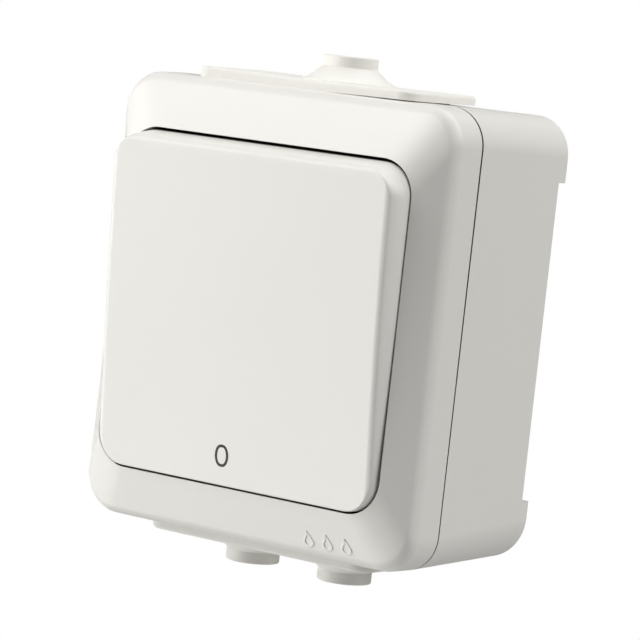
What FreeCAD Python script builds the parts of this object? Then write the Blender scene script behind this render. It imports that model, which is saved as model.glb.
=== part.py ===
import FreeCAD, Part
import math
import os
import Sketcher

# Outdoor surface-mounted rocker switch, millimetres.
# X points right, the wall is the plane Y = 0, the front faces -Y and +Z is up.
# The origin is the centre of the back, on the wall.
# A depth is a distance from the wall towards the front, so a point at depth d has Y = -d.

os.makedirs("parts", exist_ok=True)
doc = FreeCAD.newDocument("weatherproof_switch")
sheet = doc.addObject("Spreadsheet::Sheet", "sizes")

SIZES = (
    # Outer box, as the photograph shows it
    ("body_width", 72.0),
    ("body_height", 80.0),
    ("corner_radius", 7.8),
    ("seam_gap", 0.3),
    ("band_depth", 7.4),
    ("band_taper", 0.15),
    ("slope_depth", 4.5),
    ("shoulder_round", 1.1),
    ("wall", 2.2),
    # Base box
    ("foot_depth", 2.1),
    ("foot_length", 11.7),
    ("floor_thickness", 2.2),
    ("wall_slot_radius", 2.3),
    ("wall_slot_length", 8.0),
    ("wall_slot_margin", 7.5),
    ("rebate_width", 1.1),
    ("rebate_depth", 2.0),
    # Cover gasket and the tongue that presses it
    ("gasket_width", 1.0),
    ("gasket_height", 1.2),
    ("tongue_width", 0.9),
    ("seat_clearance", 0.05),
    # Cover opening and the pan behind it
    ("side_border", 5.4),
    ("end_border", 9.9),
    ("opening_radius", 6.3),
    ("rim_land", 0.3),
    ("pan_wall", 1.5),
    ("pan_floor_thickness", 1.6),
    ("pan_depth", 8.7),
    ("flank_thickness", 3.0),
    ("aperture_width", 15.0),
    ("aperture_height", 6.4),
    # Pivot ears on the pan floor
    ("pivot_below_rim", 4.5),
    ("ear_thickness", 2.0),
    ("ear_width", 7.0),
    ("ear_inset", 9.1),
    ("ear_above_pivot", 2.5),
    ("pivot_pin_radius", 1.5),
    ("pin_clearance", 0.05),
    # Rocker
    ("rocker_tilt", 4.4),
    ("face_rise", 7.9),
    ("face_crown", 0.45),
    ("face_round", 1.1),
    ("face_inset", 0.65),
    ("flank_rise", 4.0),
    ("skirt_height", 7.2),
    ("skirt_flare", 0.35),
    ("side_gap", 0.45),
    ("end_gap", 0.7),
    ("rocker_wall", 2.0),
    ("rocker_rib_thickness", 1.6),
    ("rocker_rib_gap", 0.6),
    ("rocker_rib_width", 10.0),
    ("blade_width", 12.0),
    ("blade_thickness", 3.0),
    ("blade_past_cradle", 4.9),
    # Rubber seal round the blade
    ("seal_flange_width", 27.0),
    ("seal_flange_height", 15.0),
    ("seal_flange_thickness", 1.0),
    ("seal_sleeve_wall", 1.1),
    ("seal_sleeve_height", 3.4),
    ("seal_clearance", 0.7),
    # Rubber cable entries
    ("entry_plate_margin", 4.0),
    ("entry_before_floor", 5.9),
    ("entry_behind_shoulder", 2.9),
    ("entry_plate_radius", 3.5),
    ("entry_plate_thickness", 1.75),
    ("entry_plate_chamfer", 0.5),
    ("entry_cover", 2.2),
    ("bottom_plate_setback", 0.7),
    ("entry_cover_sides", 4.2),
    ("entry_neck_radius", 3.5),
    ("entry_clearance", 0.1),
    ("entry_lip", 1.8),
    ("entry_lip_thickness", 1.2),
    ("nipple_before_plate_back", 7.6),
    ("nipple_pitch", 20.4),
    ("nipple_radius", 4.85),
    ("nipple_height", 2.05),
    ("cone_radius", 7.4),
    ("cone_height", 2.4),
    ("nipple_bore_radius", 3.3),
    ("nipple_skin", 0.8),
    # Cover screws with sealing washers
    ("cover_boss_gap", 0.5),
    ("cover_screw_inset", 8.1),
    ("cover_boss_radius", 3.5),
    ("cover_screw_radius", 1.5),
    ("cover_screw_length", 14.0),
    ("cover_head_radius", 3.0),
    ("cover_head_height", 2.2),
    ("screw_clearance", 0.2),
    ("thread_clearance", 0.05),
    ("washer_thickness", 0.8),
    ("boss_below_seam", 0.1),
    ("pilot_spare", 1.5),
    # Switch mechanism
    ("housing_width", 32.0),
    ("housing_height", 41.0),
    ("housing_depth", 18.0),
    ("housing_clearance", 1.7),
    ("housing_wall", 1.6),
    ("housing_round", 1.5),
    ("partition_height", 11.6),
    ("lid_thickness", 1.5),
    ("pan_clearance", 4.0),
    ("lid_window_width", 12.6),
    ("lid_window_height", 9.4),
    ("lug_height", 6.0),
    ("lug_thickness", 3.0),
    ("lug_width", 9.0),
    ("lug_screw_offset", 4.5),
    ("lug_end_radius", 4.0),
    ("post_radius", 3.5),
    ("housing_screw_radius", 1.4),
    ("housing_screw_length", 7.5),
    ("housing_head_radius", 2.8),
    ("housing_head_height", 2.0),
    ("pole_inset", 6.4),
    # Driven cradle
    ("cradle_below_front", 2.5),
    ("cradle_ratio", 1.42),
    ("cradle_side_gap", 1.4),
    ("cradle_height", 6.4),
    ("cradle_behind", 2.5),
    ("cradle_ahead", 1.7),
    ("cradle_pin_radius", 1.2),
    ("cradle_pin_end_gap", 0.2),
    ("fork_width", 11.0),
    ("fork_slot", 3.6),
    ("fork_wall", 1.6),
    ("fork_clearance", 1.3),
    ("tube_radius", 2.8),
    ("plunger_bore_radius", 1.8),
    ("plunger_bore_top", 1.0),
    # Plungers and their springs
    ("plunger_radius", 1.7),
    ("plunger_gap", 0.15),
    ("plunger_nose", 2.15),
    ("plunger_head", 3.75),
    ("plunger_stem_radius", 0.6),
    ("plunger_stem_top", -0.3),
    ("spring_radius", 1.35),
    ("spring_wire", 0.4),
    ("spring_wire_sides", 6),
    ("spring_turns", 4.5),
    # Contact levers
    ("lever_height", 7.2),
    ("lever_tilt", 6.0),
    ("lever_width", 4.4),
    ("lever_end", 1.4),
    ("lever_thickness", 1.0),
    ("lever_lug_gap", 0.95),
    ("lever_lug_thickness", 0.6),
    ("lever_lug_height", 0.8),
    ("contact_gap", 4.7),
    ("contact_radius", 1.5),
    ("contact_height", 0.8),
    # Terminals
    ("terminal_end_gap", 0.4),
    ("terminal_width", 6.4),
    ("terminal_length", 6.0),
    ("terminal_height", 9.3),
    ("terminal_clearance", 0.1),
    ("strip_thickness", 1.0),
    ("strip_width", 2.8),
    ("knife_gap", 0.1),
    ("knife_width", 3.6),
    ("load_strip_rise", 1.9),
    ("fixed_contact_height", 0.6),
    ("stop_gap", 1.3),
    ("wire_height", 4.8),
    ("wire_bore_radius", 1.7),
    ("wire_hole_radius", 2.3),
    ("terminal_screw_radius", 1.45),
    ("terminal_head_radius", 2.4),
    ("terminal_head_height", 2.2),
    ("terminal_head_rise", 2.5),
    # Driver recess of every screw
    ("recess_length", 3.2),
    ("recess_width", 0.9),
    ("recess_depth", 1.1),
    # How far a cutting shape runs past what it cuts
    ("overrun", 1.0),
)

# Sizes that follow from the ones above: the box is as deep as the mechanism needs
DERIVED = (
    ("floor_front", "foot_depth + floor_thickness"),
    ("housing_back", "floor_front + housing_clearance"),
    ("housing_front", "housing_back + housing_depth"),
    ("pan_back", "housing_front + lid_thickness + pan_clearance"),
    ("pan_floor", "pan_back + pan_floor_thickness"),
    ("rim", "pan_floor + pan_depth"),
    ("shoulder", "rim - slope_depth"),
    ("cover_back", "shoulder - band_depth"),
    ("base_depth", "cover_back - seam_gap"),
    ("boss_top", "base_depth - boss_below_seam"),
    ("pivot_depth", "rim - pivot_below_rim"),
    ("wall_slot_across", "body_width / 2 - wall_slot_margin"),
    ("wall_slot_up", "body_height / 2 - wall_slot_margin"),
    ("opening_width", "body_width - 2 * side_border"),
    ("opening_height", "body_height - 2 * end_border"),
    ("ear_across", "opening_width / 2 - ear_inset"),
    ("chamber_width", "housing_width - 2 * housing_wall"),
    ("chamber_height", "housing_height - 2 * housing_wall"),
    ("chamber_floor", "housing_back + housing_wall"),
    ("partition_front", "housing_back + partition_height"),
    ("lug_back", "housing_back + lug_height"),
    ("lug_screw_across", "housing_width / 2 + lug_screw_offset"),
    ("cover_screw_across", "housing_width / 2 + cover_boss_radius + cover_boss_gap"),
    ("cover_screw_up", "opening_height / 2 - cover_screw_inset"),
    ("pole_across", "chamber_width / 2 - pole_inset"),
    ("terminal_up", "chamber_height / 2 - terminal_length / 2 - terminal_end_gap"),
    ("terminal_back", "chamber_floor + terminal_clearance"),
    ("terminal_front", "terminal_back + terminal_height"),
    ("terminal_head_seat", "terminal_front + terminal_head_rise"),
    ("wire_depth", "terminal_back + wire_height"),
    ("terminal_screw_tip", "wire_depth + wire_bore_radius + terminal_clearance"),
    ("contact_up", "terminal_up - terminal_length / 2 - contact_gap"),
    ("lever_depth", "housing_back + lever_height"),
    ("lever_length", "2 * contact_up + 2 * lever_end"),
    ("stop_front", "lever_depth - stop_gap"),
    ("load_strip_back", "terminal_back + load_strip_rise"),
    ("load_strip_front", "load_strip_back + strip_thickness"),
    ("cradle_depth", "housing_front - cradle_below_front"),
    ("cradle_width", "chamber_width - 2 * cradle_side_gap"),
    ("cradle_pin_reach", "cradle_side_gap + housing_wall - cradle_pin_end_gap"),
    ("cradle_tilt", "-rocker_tilt * cradle_ratio"),
    ("fork_reach", "pan_back - fork_clearance - cradle_depth"),
    ("blade_reach", "pivot_depth - cradle_depth - blade_past_cradle"),
    ("plunger_tip", "cradle_depth - lever_depth - lever_thickness - plunger_gap"),
    ("plunger_shoulder", "plunger_tip - plunger_head"),
    ("tube_reach", "plunger_tip - plunger_nose"),
    ("spring_length", "plunger_shoulder + plunger_bore_top - spring_wire - 2 * seat_clearance"),
    ("entry_plate_width", "body_width - 2 * corner_radius - 2 * entry_plate_margin"),
    ("entry_plate_back", "floor_front + entry_before_floor"),
    ("entry_plate_front", "shoulder - entry_behind_shoulder"),
    ("nipple_depth", "entry_plate_back + nipple_before_plate_back"),
)
rows = [(alias, str(value)) for alias, value in SIZES]
rows += [(alias, "=" + formula) for alias, formula in DERIVED]
for row, (alias, content) in enumerate(rows, start=1):
    sheet.set("A%d" % row, alias)
    sheet.set("B%d" % row, content)
    sheet.setAlias("B%d" % row, alias)
doc.recompute()


def size(alias):
    """The expression of one cell of the sheet."""
    return "sizes." + alias


def number(expression):
    """The present value of an expression on the sheet."""
    return float(sheet.evalExpression(expression))


# Places that several pieces share, as expressions on the sheet
HALF_WIDTH = "sizes.body_width / 2"
HALF_HEIGHT = "sizes.body_height / 2"
FLOOR = size("floor_front")
COVER_BACK = size("cover_back")
SHOULDER = size("shoulder")
RIM = size("rim")
PAN_FLOOR = size("pan_floor")
PAN_BACK = size("pan_back")
PIVOT = size("pivot_depth")
BOSS_TOP = size("boss_top")
REBATE_HALF_WIDTH = "(sizes.body_width / 2 - sizes.wall + sizes.rebate_width)"
REBATE_HALF_HEIGHT = "(sizes.body_height / 2 - sizes.wall + sizes.rebate_width)"
REBATE_RADIUS = "(sizes.corner_radius - sizes.wall + sizes.rebate_width)"
ENTRY_BACK = "(sizes.entry_plate_back + sizes.entry_cover)"
ENTRY_FRONT = "(sizes.entry_plate_front - sizes.entry_cover)"
ENTRY_HALF = "(sizes.entry_plate_width / 2 - sizes.entry_cover_sides)"
LIP_TOP = "(sizes.body_height / 2 - sizes.wall - sizes.band_taper - sizes.seat_clearance)"
CRADLE_TILT = size("cradle_tilt")
COVER_SCREWS = ((-1, 1), (1, -1))
SIDES = (-1, 1)


def new_body(name):
    """A PartDesign body whose label names its file."""
    body = doc.addObject("PartDesign::Body", name)
    body.Label = name
    return body


def new_sketch(body, name, plane, offset="0", across="0"):
    """A sketch on an origin plane of the body, shifted along the plane's normal and sideways."""
    sketch = body.newObject("Sketcher::SketchObject", name)
    support = [item for item in body.Origin.OriginFeatures if item.Role == plane][0]
    sketch.AttachmentSupport = [(support, "")]
    sketch.MapMode = "FlatFace"
    sketch.setExpression(".AttachmentOffset.Base.z", offset)
    sketch.setExpression(".AttachmentOffset.Base.x", across)
    return sketch


def bind(sketch, constraint, expression):
    """Add a constraint whose value follows the sheet."""
    index = sketch.addConstraint(constraint)
    sketch.setExpression("Constraints[%d]" % index, expression)


def place_point(sketch, geometry, point, across, up):
    """Tie one point of a sketch to its two coordinates."""
    for kind, expression, axis in (("DistanceX", across, -2), ("DistanceY", up, -1)):
        if expression is None:
            continue
        if expression == "0":
            sketch.addConstraint(Sketcher.Constraint("PointOnObject", geometry, point, axis))
        else:
            value = number(expression)
            bind(sketch, Sketcher.Constraint(kind, -1, 1, geometry, point, value), expression)


def draw_polygon(sketch, points):
    """A closed outline of straight lines through points given as pairs of expressions."""
    corners = [FreeCAD.Vector(number(across), number(up), 0) for across, up in points]
    count = len(corners)
    first = sketch.GeometryCount
    for index in range(count):
        sketch.addGeometry(Part.LineSegment(corners[index], corners[(index + 1) % count]), False)
    for index in range(count):
        following = first + (index + 1) % count
        sketch.addConstraint(Sketcher.Constraint("Coincident", first + index, 2, following, 1))
    for index, (across, up) in enumerate(points):
        place_point(sketch, first + index, 1, across, up)


def draw_box(sketch, left, right, low, high):
    """A plain rectangle between four limits."""
    draw_polygon(sketch, ((left, low), (right, low), (right, high), (left, high)))


def draw_rounded_box(sketch, left, right, low, high, radius):
    """A rectangle between four limits, with round corners."""
    x0, x1, z0, z1, r = (number(item) for item in (left, right, low, high, radius))
    vector = FreeCAD.Vector
    first = sketch.GeometryCount
    lines = (
        (vector(x0 + r, z0, 0), vector(x1 - r, z0, 0)),
        (vector(x1, z0 + r, 0), vector(x1, z1 - r, 0)),
        (vector(x1 - r, z1, 0), vector(x0 + r, z1, 0)),
        (vector(x0, z1 - r, 0), vector(x0, z0 + r, 0)),
    )
    centres = (
        vector(x1 - r, z0 + r, 0), vector(x1 - r, z1 - r, 0),
        vector(x0 + r, z1 - r, 0), vector(x0 + r, z0 + r, 0),
    )
    for start, end in lines:
        sketch.addGeometry(Part.LineSegment(start, end), False)
    for quarter, centre in enumerate(centres):
        circle = Part.Circle(centre, vector(0, 0, 1), r)
        start = (quarter - 1) * math.pi / 2
        sketch.addGeometry(Part.ArcOfCircle(circle, start, start + math.pi / 2), False)
    for side in range(4):
        line, arc, next_line = first + side, first + 4 + side, first + (side + 1) % 4
        sketch.addConstraint(Sketcher.Constraint("Tangent", line, 2, arc, 1))
        sketch.addConstraint(Sketcher.Constraint("Tangent", arc, 2, next_line, 1))
        flat = "Horizontal" if side % 2 == 0 else "Vertical"
        sketch.addConstraint(Sketcher.Constraint(flat, line))
    for side in range(1, 4):
        sketch.addConstraint(Sketcher.Constraint("Equal", first + 4, first + 4 + side))
    bind(sketch, Sketcher.Constraint("Radius", first + 4, r), radius)
    place_point(sketch, first, 1, None, low)
    place_point(sketch, first + 1, 1, right, None)
    place_point(sketch, first + 2, 1, None, high)
    place_point(sketch, first + 3, 1, left, None)


def draw_centred_box(sketch, half_width, half_height, radius):
    """A rounded rectangle about the sketch's origin."""
    draw_rounded_box(sketch, "-(%s)" % half_width, half_width, "-(%s)" % half_height, half_height, radius)


def draw_circle(sketch, across, up, radius):
    """A full circle at a given place."""
    centre = FreeCAD.Vector(number(across), number(up), 0)
    circle = Part.Circle(centre, FreeCAD.Vector(0, 0, 1), number(radius))
    index = sketch.addGeometry(circle, False)
    bind(sketch, Sketcher.Constraint("Radius", index, number(radius)), radius)
    place_point(sketch, index, 3, across, up)


def draw_slot(sketch, across, up, length, radius):
    """A slot along X, centred at a given place."""
    x, z, half, r = (number(item) for item in (across, up, "(%s) / 2 - (%s)" % (length, radius), radius))
    vector = FreeCAD.Vector
    first = sketch.GeometryCount
    for end, start_angle in ((x - half, math.pi / 2), (x + half, -math.pi / 2)):
        circle = Part.Circle(vector(end, z, 0), vector(0, 0, 1), r)
        sketch.addGeometry(Part.ArcOfCircle(circle, start_angle, start_angle + math.pi), False)
    sketch.addGeometry(Part.LineSegment(vector(x - half, z - r, 0), vector(x + half, z - r, 0)), False)
    sketch.addGeometry(Part.LineSegment(vector(x + half, z + r, 0), vector(x - half, z + r, 0)), False)
    left, right, low, high = first, first + 1, first + 2, first + 3
    for one, following in ((left, low), (low, right), (right, high), (high, left)):
        sketch.addConstraint(Sketcher.Constraint("Tangent", one, 2, following, 1))
    sketch.addConstraint(Sketcher.Constraint("Equal", left, right))
    bind(sketch, Sketcher.Constraint("Radius", left, r), radius)
    place_point(sketch, left, 3, "%s - (%s) / 2 + (%s)" % (across, length, radius), up)
    place_point(sketch, right, 3, "%s + (%s) / 2 - (%s)" % (across, length, radius), up)


def extrude(body, kind, name, sketch, length, forward=True, both_ways=False):
    """A pad or pocket; forward is along the sketch's own normal."""
    feature = body.newObject("PartDesign::" + kind, name)
    feature.Profile = sketch
    feature.setExpression("Length", length)
    if both_ways:
        feature.SideType = "Symmetric"
    else:
        feature.Reversed = forward if kind == "Pocket" else not forward
    doc.recompute()
    return feature


def pad(body, name, sketch, length, forward=True, both_ways=False):
    return extrude(body, "Pad", name, sketch, length, forward, both_ways)


def pocket(body, name, sketch, length, forward=False, both_ways=False):
    return extrude(body, "Pocket", name, sketch, length, forward, both_ways)


def revolve(body, kind, name, sketch, axis):
    """A full turn of a sketch about one of its own axes."""
    feature = body.newObject("PartDesign::" + kind, name)
    feature.Profile = sketch
    feature.ReferenceAxis = (sketch, [axis])
    feature.Angle = 360.0
    doc.recompute()
    return feature


def loft(body, kind, name, sections):
    """Straight walls from section to section."""
    feature = body.newObject("PartDesign::" + kind, name)
    feature.Profile = sections[0]
    feature.Sections = sections[1:]
    feature.Ruled = True
    doc.recompute()
    return feature


def dress(body, kind, name, base, chosen, radius):
    """A fillet or chamfer on the edges that the test picks."""
    edges = ["Edge%d" % (i + 1) for i, edge in enumerate(base.Shape.Edges) if chosen(edge)]
    feature = body.newObject("PartDesign::" + kind, name)
    feature.Base = (base, edges)
    feature.setExpression("Radius" if kind == "Fillet" else "Size", radius)
    doc.recompute()
    return feature


def in_plane(edge, axis, value, tolerance=0.01):
    """True where the whole edge lies at one value of X, Y or Z."""
    box = edge.BoundBox
    low, high = {"x": (box.XMin, box.XMax), "y": (box.YMin, box.YMax), "z": (box.ZMin, box.ZMax)}[axis]
    return abs(low - value) < tolerance and abs(high - value) < tolerance


def turn_about(body, depth, tilt):
    """Put a body drawn about its own pivot at the pivot's depth, turned by its tilt about X."""
    body.Placement = FreeCAD.Placement(FreeCAD.Vector(), FreeCAD.Rotation(FreeCAD.Vector(1, 0, 0), 1.0))
    body.setExpression(".Placement.Base.y", "-(%s)" % depth)
    body.setExpression(".Placement.Rotation.Angle", tilt)


# Base box: a deep tray on four corner feet, with posts for the mechanism and bosses for the cover
base = new_body("base_box")
outline = new_sketch(base, "base_outline", "XZ_Plane")
draw_centred_box(outline, HALF_WIDTH, HALF_HEIGHT, size("corner_radius"))
pad(base, "base_block", outline, size("base_depth"))
relief_halves = (
    ("across", HALF_WIDTH + " + sizes.overrun", HALF_HEIGHT + " - sizes.foot_length"),
    ("upright", HALF_WIDTH + " - sizes.foot_length", HALF_HEIGHT + " + sizes.overrun"),
)
for name, half_width, half_height in relief_halves:
    relief = new_sketch(base, "relief_" + name, "XZ_Plane")
    draw_box(relief, "-(%s)" % half_width, half_width, "-(%s)" % half_height, half_height)
    pocket(base, "relief_cut_" + name, relief, size("foot_depth"), forward=True)
tray = new_sketch(base, "tray_outline", "XZ_Plane", size("base_depth"))
draw_centred_box(tray, HALF_WIDTH + " - sizes.wall", HALF_HEIGHT + " - sizes.wall",
                 "sizes.corner_radius - sizes.wall")
pocket(base, "tray", tray, "sizes.base_depth - %s" % FLOOR)
rebate = new_sketch(base, "rebate_outline", "XZ_Plane", size("base_depth"))
draw_centred_box(rebate, REBATE_HALF_WIDTH, REBATE_HALF_HEIGHT, REBATE_RADIUS)
pocket(base, "rebate", rebate, size("rebate_depth"))
posts = new_sketch(base, "post_circles", "XZ_Plane", size("foot_depth"))
for side in SIDES:
    draw_circle(posts, "%d * sizes.lug_screw_across" % side, "0", size("post_radius"))
pad(base, "posts", posts, "sizes.lug_back - sizes.foot_depth")
bosses = new_sketch(base, "boss_circles", "XZ_Plane", size("foot_depth"))
for side, level in COVER_SCREWS:
    draw_circle(bosses, "%d * sizes.cover_screw_across" % side, "%d * sizes.cover_screw_up" % level,
                size("cover_boss_radius"))
pad(base, "bosses", bosses, "%s - sizes.foot_depth" % BOSS_TOP)
post_pilots = new_sketch(base, "post_pilot_circles", "XZ_Plane", size("lug_back"))
for side in SIDES:
    draw_circle(post_pilots, "%d * sizes.lug_screw_across" % side, "0",
                "sizes.housing_screw_radius + sizes.thread_clearance")
pocket(base, "post_pilots", post_pilots,
       "sizes.housing_screw_length - sizes.lug_thickness + sizes.pilot_spare")
boss_pilots = new_sketch(base, "boss_pilot_circles", "XZ_Plane", BOSS_TOP)
for side, level in COVER_SCREWS:
    draw_circle(boss_pilots, "%d * sizes.cover_screw_across" % side,
                "%d * sizes.cover_screw_up" % level, "sizes.cover_screw_radius + sizes.thread_clearance")
pocket(base, "boss_pilots", boss_pilots, "sizes.cover_screw_length")
wall_slots = new_sketch(base, "wall_slot_outlines", "XZ_Plane")
for side in SIDES:
    for level in SIDES:
        middle, height = "%d * sizes.wall_slot_across" % side, "%d * sizes.wall_slot_up" % level
        draw_slot(wall_slots, middle, height, size("wall_slot_length"), size("wall_slot_radius"))
pocket(base, "wall_slots", wall_slots, FLOOR + " + sizes.overrun", forward=True)


def cut_entry_slots(body):
    """The slots for the rubber entries in the top and bottom walls, across the seam."""
    for side, name in ((1, "top"), (-1, "bottom")):
        level = "%d * (sizes.body_height / 2 + sizes.overrun)" % side
        slot = new_sketch(body, body.Name + "_slot_" + name, "XY_Plane", level)
        draw_rounded_box(slot, "-" + ENTRY_HALF, ENTRY_HALF, "-" + ENTRY_FRONT, "-" + ENTRY_BACK,
                         size("entry_neck_radius"))
        pocket(body, body.Name + "_slot_cut_" + name, slot, "sizes.wall + 2 * sizes.overrun",
               forward=side < 0)


cut_entry_slots(base)

# Front cover: a band round the seam, a sloping front up to the rocker opening, and a pan behind it
cover = new_body("front_cover")
cover_sections = []
cover_levels = (
    ("back", COVER_BACK, HALF_WIDTH, HALF_HEIGHT, size("corner_radius")),
    ("shoulder", SHOULDER, HALF_WIDTH + " - sizes.band_taper", HALF_HEIGHT + " - sizes.band_taper",
     "sizes.corner_radius - sizes.band_taper"),
    ("rim", RIM, "sizes.opening_width / 2 + sizes.rim_land", "sizes.opening_height / 2 + sizes.rim_land",
     "sizes.opening_radius + sizes.rim_land"),
)
for name, depth, half_width, half_height, radius in cover_levels:
    section = new_sketch(cover, "cover_" + name, "XZ_Plane", depth)
    draw_centred_box(section, half_width, half_height, radius)
    cover_sections.append(section)
cover_form = loft(cover, "AdditiveLoft", "cover_form", cover_sections)
dress(cover, "Fillet", "cover_shoulder", cover_form,
      lambda edge: in_plane(edge, "y", -number(SHOULDER)), size("shoulder_round"))
hollow_sections = []
hollow_levels = (
    ("back", COVER_BACK, HALF_WIDTH + " - sizes.wall", HALF_HEIGHT + " - sizes.wall",
     "sizes.corner_radius - sizes.wall"),
    ("middle", SHOULDER + " - sizes.shoulder_round",
     HALF_WIDTH + " - sizes.wall - sizes.band_taper",
     HALF_HEIGHT + " - sizes.wall - sizes.band_taper",
     "sizes.corner_radius - sizes.wall - sizes.band_taper"),
    ("front", RIM + " - sizes.flank_thickness", "sizes.opening_width / 2 + sizes.pan_wall",
     "sizes.opening_height / 2 + sizes.pan_wall", "sizes.opening_radius + sizes.pan_wall"),
)
for name, depth, half_width, half_height, radius in hollow_levels:
    section = new_sketch(cover, "cover_hollow_" + name, "XZ_Plane", depth)
    draw_centred_box(section, half_width, half_height, radius)
    hollow_sections.append(section)
loft(cover, "SubtractiveLoft", "cover_hollow", hollow_sections)
pan = new_sketch(cover, "pan_outline", "XZ_Plane", PAN_BACK)
draw_centred_box(pan, "sizes.opening_width / 2 + sizes.pan_wall",
                 "sizes.opening_height / 2 + sizes.pan_wall",
                 "sizes.opening_radius + sizes.pan_wall")
pad(cover, "pan_block", pan, "%s - sizes.flank_thickness / 2 - %s" % (RIM, PAN_BACK))
opening = new_sketch(cover, "opening_outline", "XZ_Plane", RIM)
draw_centred_box(opening, "sizes.opening_width / 2", "sizes.opening_height / 2", size("opening_radius"))
pocket(cover, "opening", opening, size("pan_depth"))
tongue = new_sketch(cover, "tongue_outline", "XZ_Plane", COVER_BACK)
draw_centred_box(tongue, REBATE_HALF_WIDTH + " - sizes.seat_clearance",
                 REBATE_HALF_HEIGHT + " - sizes.seat_clearance", REBATE_RADIUS + " - sizes.seat_clearance")
draw_centred_box(tongue, REBATE_HALF_WIDTH + " - sizes.seat_clearance - sizes.tongue_width",
                 REBATE_HALF_HEIGHT + " - sizes.seat_clearance - sizes.tongue_width",
                 REBATE_RADIUS + " - sizes.seat_clearance - sizes.tongue_width")
pad(cover, "tongue", tongue,
    "sizes.seam_gap + sizes.rebate_depth - sizes.gasket_height - sizes.seat_clearance", forward=False)
sleeves = new_sketch(cover, "sleeve_circles", "XZ_Plane", BOSS_TOP)
for side, level in COVER_SCREWS:
    draw_circle(sleeves, "%d * sizes.cover_screw_across" % side, "%d * sizes.cover_screw_up" % level,
                size("cover_boss_radius"))
pad(cover, "sleeves", sleeves, "%s - %s" % (PAN_FLOOR, BOSS_TOP))
screw_holes = new_sketch(cover, "screw_hole_circles", "XZ_Plane", PAN_FLOOR)
for side, level in COVER_SCREWS:
    draw_circle(screw_holes, "%d * sizes.cover_screw_across" % side,
                "%d * sizes.cover_screw_up" % level, "sizes.cover_screw_radius + sizes.screw_clearance")
pocket(cover, "screw_holes", screw_holes, "%s - %s + sizes.overrun" % (PAN_FLOOR, BOSS_TOP))
aperture = new_sketch(cover, "aperture_outline", "XZ_Plane", PAN_FLOOR)
draw_box(aperture, "-sizes.aperture_width / 2", "sizes.aperture_width / 2",
         "-sizes.aperture_height / 2", "sizes.aperture_height / 2")
pocket(cover, "aperture", aperture, "sizes.pan_floor_thickness + sizes.overrun")
ears = new_sketch(cover, "ear_outlines", "XZ_Plane", PAN_BACK)
for side in SIDES:
    edges = ["%d * sizes.ear_across + %d * sizes.ear_thickness / 2" % (side, way) for way in SIDES]
    draw_box(ears, edges[0], edges[1], "-sizes.ear_width / 2", "sizes.ear_width / 2")
pad(cover, "ears", ears, "%s + sizes.ear_above_pivot - %s" % (PIVOT, PAN_BACK))
ear_bores = new_sketch(cover, "ear_bore_circle", "YZ_Plane")
draw_circle(ear_bores, "-" + PIVOT, "0", "sizes.pivot_pin_radius + sizes.pin_clearance")
pocket(cover, "ear_bores", ear_bores, "2 * sizes.ear_across + 2 * sizes.ear_thickness", both_ways=True)
cut_entry_slots(cover)

# Cover gasket: a rubber cord in the base's rebate, left out where the cable entries cross it
gasket = new_body("cover_gasket")
ring = new_sketch(gasket, "gasket_ring", "XZ_Plane", "sizes.base_depth - sizes.rebate_depth")
draw_centred_box(ring, REBATE_HALF_WIDTH + " - sizes.seat_clearance",
                 REBATE_HALF_HEIGHT + " - sizes.seat_clearance", REBATE_RADIUS + " - sizes.seat_clearance")
draw_centred_box(ring, REBATE_HALF_WIDTH + " - sizes.seat_clearance - sizes.gasket_width",
                 REBATE_HALF_HEIGHT + " - sizes.seat_clearance - sizes.gasket_width",
                 REBATE_RADIUS + " - sizes.seat_clearance - sizes.gasket_width")
pad(gasket, "gasket_cord", ring, size("gasket_height"))
breaks = new_sketch(gasket, "gasket_breaks", "XZ_Plane", "sizes.base_depth")
draw_box(breaks, "-" + ENTRY_HALF, ENTRY_HALF, "-sizes.body_height / 2", "sizes.body_height / 2")
pocket(gasket, "gasket_gaps", breaks, "sizes.rebate_depth + sizes.overrun")

# Rocker: a crowned, hollow button drawn about its pivot, with two pivot pins and a driving blade
rocker = new_body("rocker")
FACE_HALF_WIDTH = "(sizes.opening_width / 2 - sizes.side_gap - sizes.face_inset)"
FACE_HALF_HEIGHT = "(sizes.opening_height / 2 - sizes.end_gap - sizes.face_inset)"
ROCKER_HALF_WIDTH = "(sizes.opening_width / 2 - sizes.side_gap)"
ROCKER_HALF_HEIGHT = "(sizes.opening_height / 2 - sizes.end_gap)"
ROCKER_RADIUS = "(sizes.opening_radius - sizes.side_gap)"
SKIRT_EDGE = "(sizes.face_rise - sizes.skirt_height)"
CEILING = "(sizes.face_rise - sizes.face_crown - sizes.rocker_wall)"
rocker_levels = (
    ("skirt", SKIRT_EDGE, ROCKER_HALF_WIDTH, ROCKER_HALF_HEIGHT + " + sizes.skirt_flare", ROCKER_RADIUS),
    ("flank", "sizes.face_rise - sizes.flank_rise", ROCKER_HALF_WIDTH, ROCKER_HALF_HEIGHT, ROCKER_RADIUS),
    ("face", size("face_rise"), FACE_HALF_WIDTH, FACE_HALF_HEIGHT, ROCKER_RADIUS + " - sizes.face_inset"),
)
rocker_sections = []
for name, depth, half_width, half_height, radius in rocker_levels:
    section = new_sketch(rocker, "rocker_" + name, "XZ_Plane", depth)
    draw_centred_box(section, half_width, half_height, radius)
    rocker_sections.append(section)
loft(rocker, "AdditiveLoft", "rocker_form", rocker_sections)
CROWN_HALF = "(sizes.opening_height / 2)"
CROWN_RADIUS = "((%s ^ 2 + sizes.face_crown ^ 2) / (2 * sizes.face_crown))" % CROWN_HALF
crown = new_sketch(rocker, "crown_profile", "YZ_Plane")
crown_half, crown_radius = number(CROWN_HALF), number(CROWN_RADIUS)
crown_front = -number("sizes.face_rise + sizes.overrun")
crown_edge = -number("sizes.face_rise - sizes.face_crown")
crown_angle = math.asin(crown_half / crown_radius)
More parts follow.
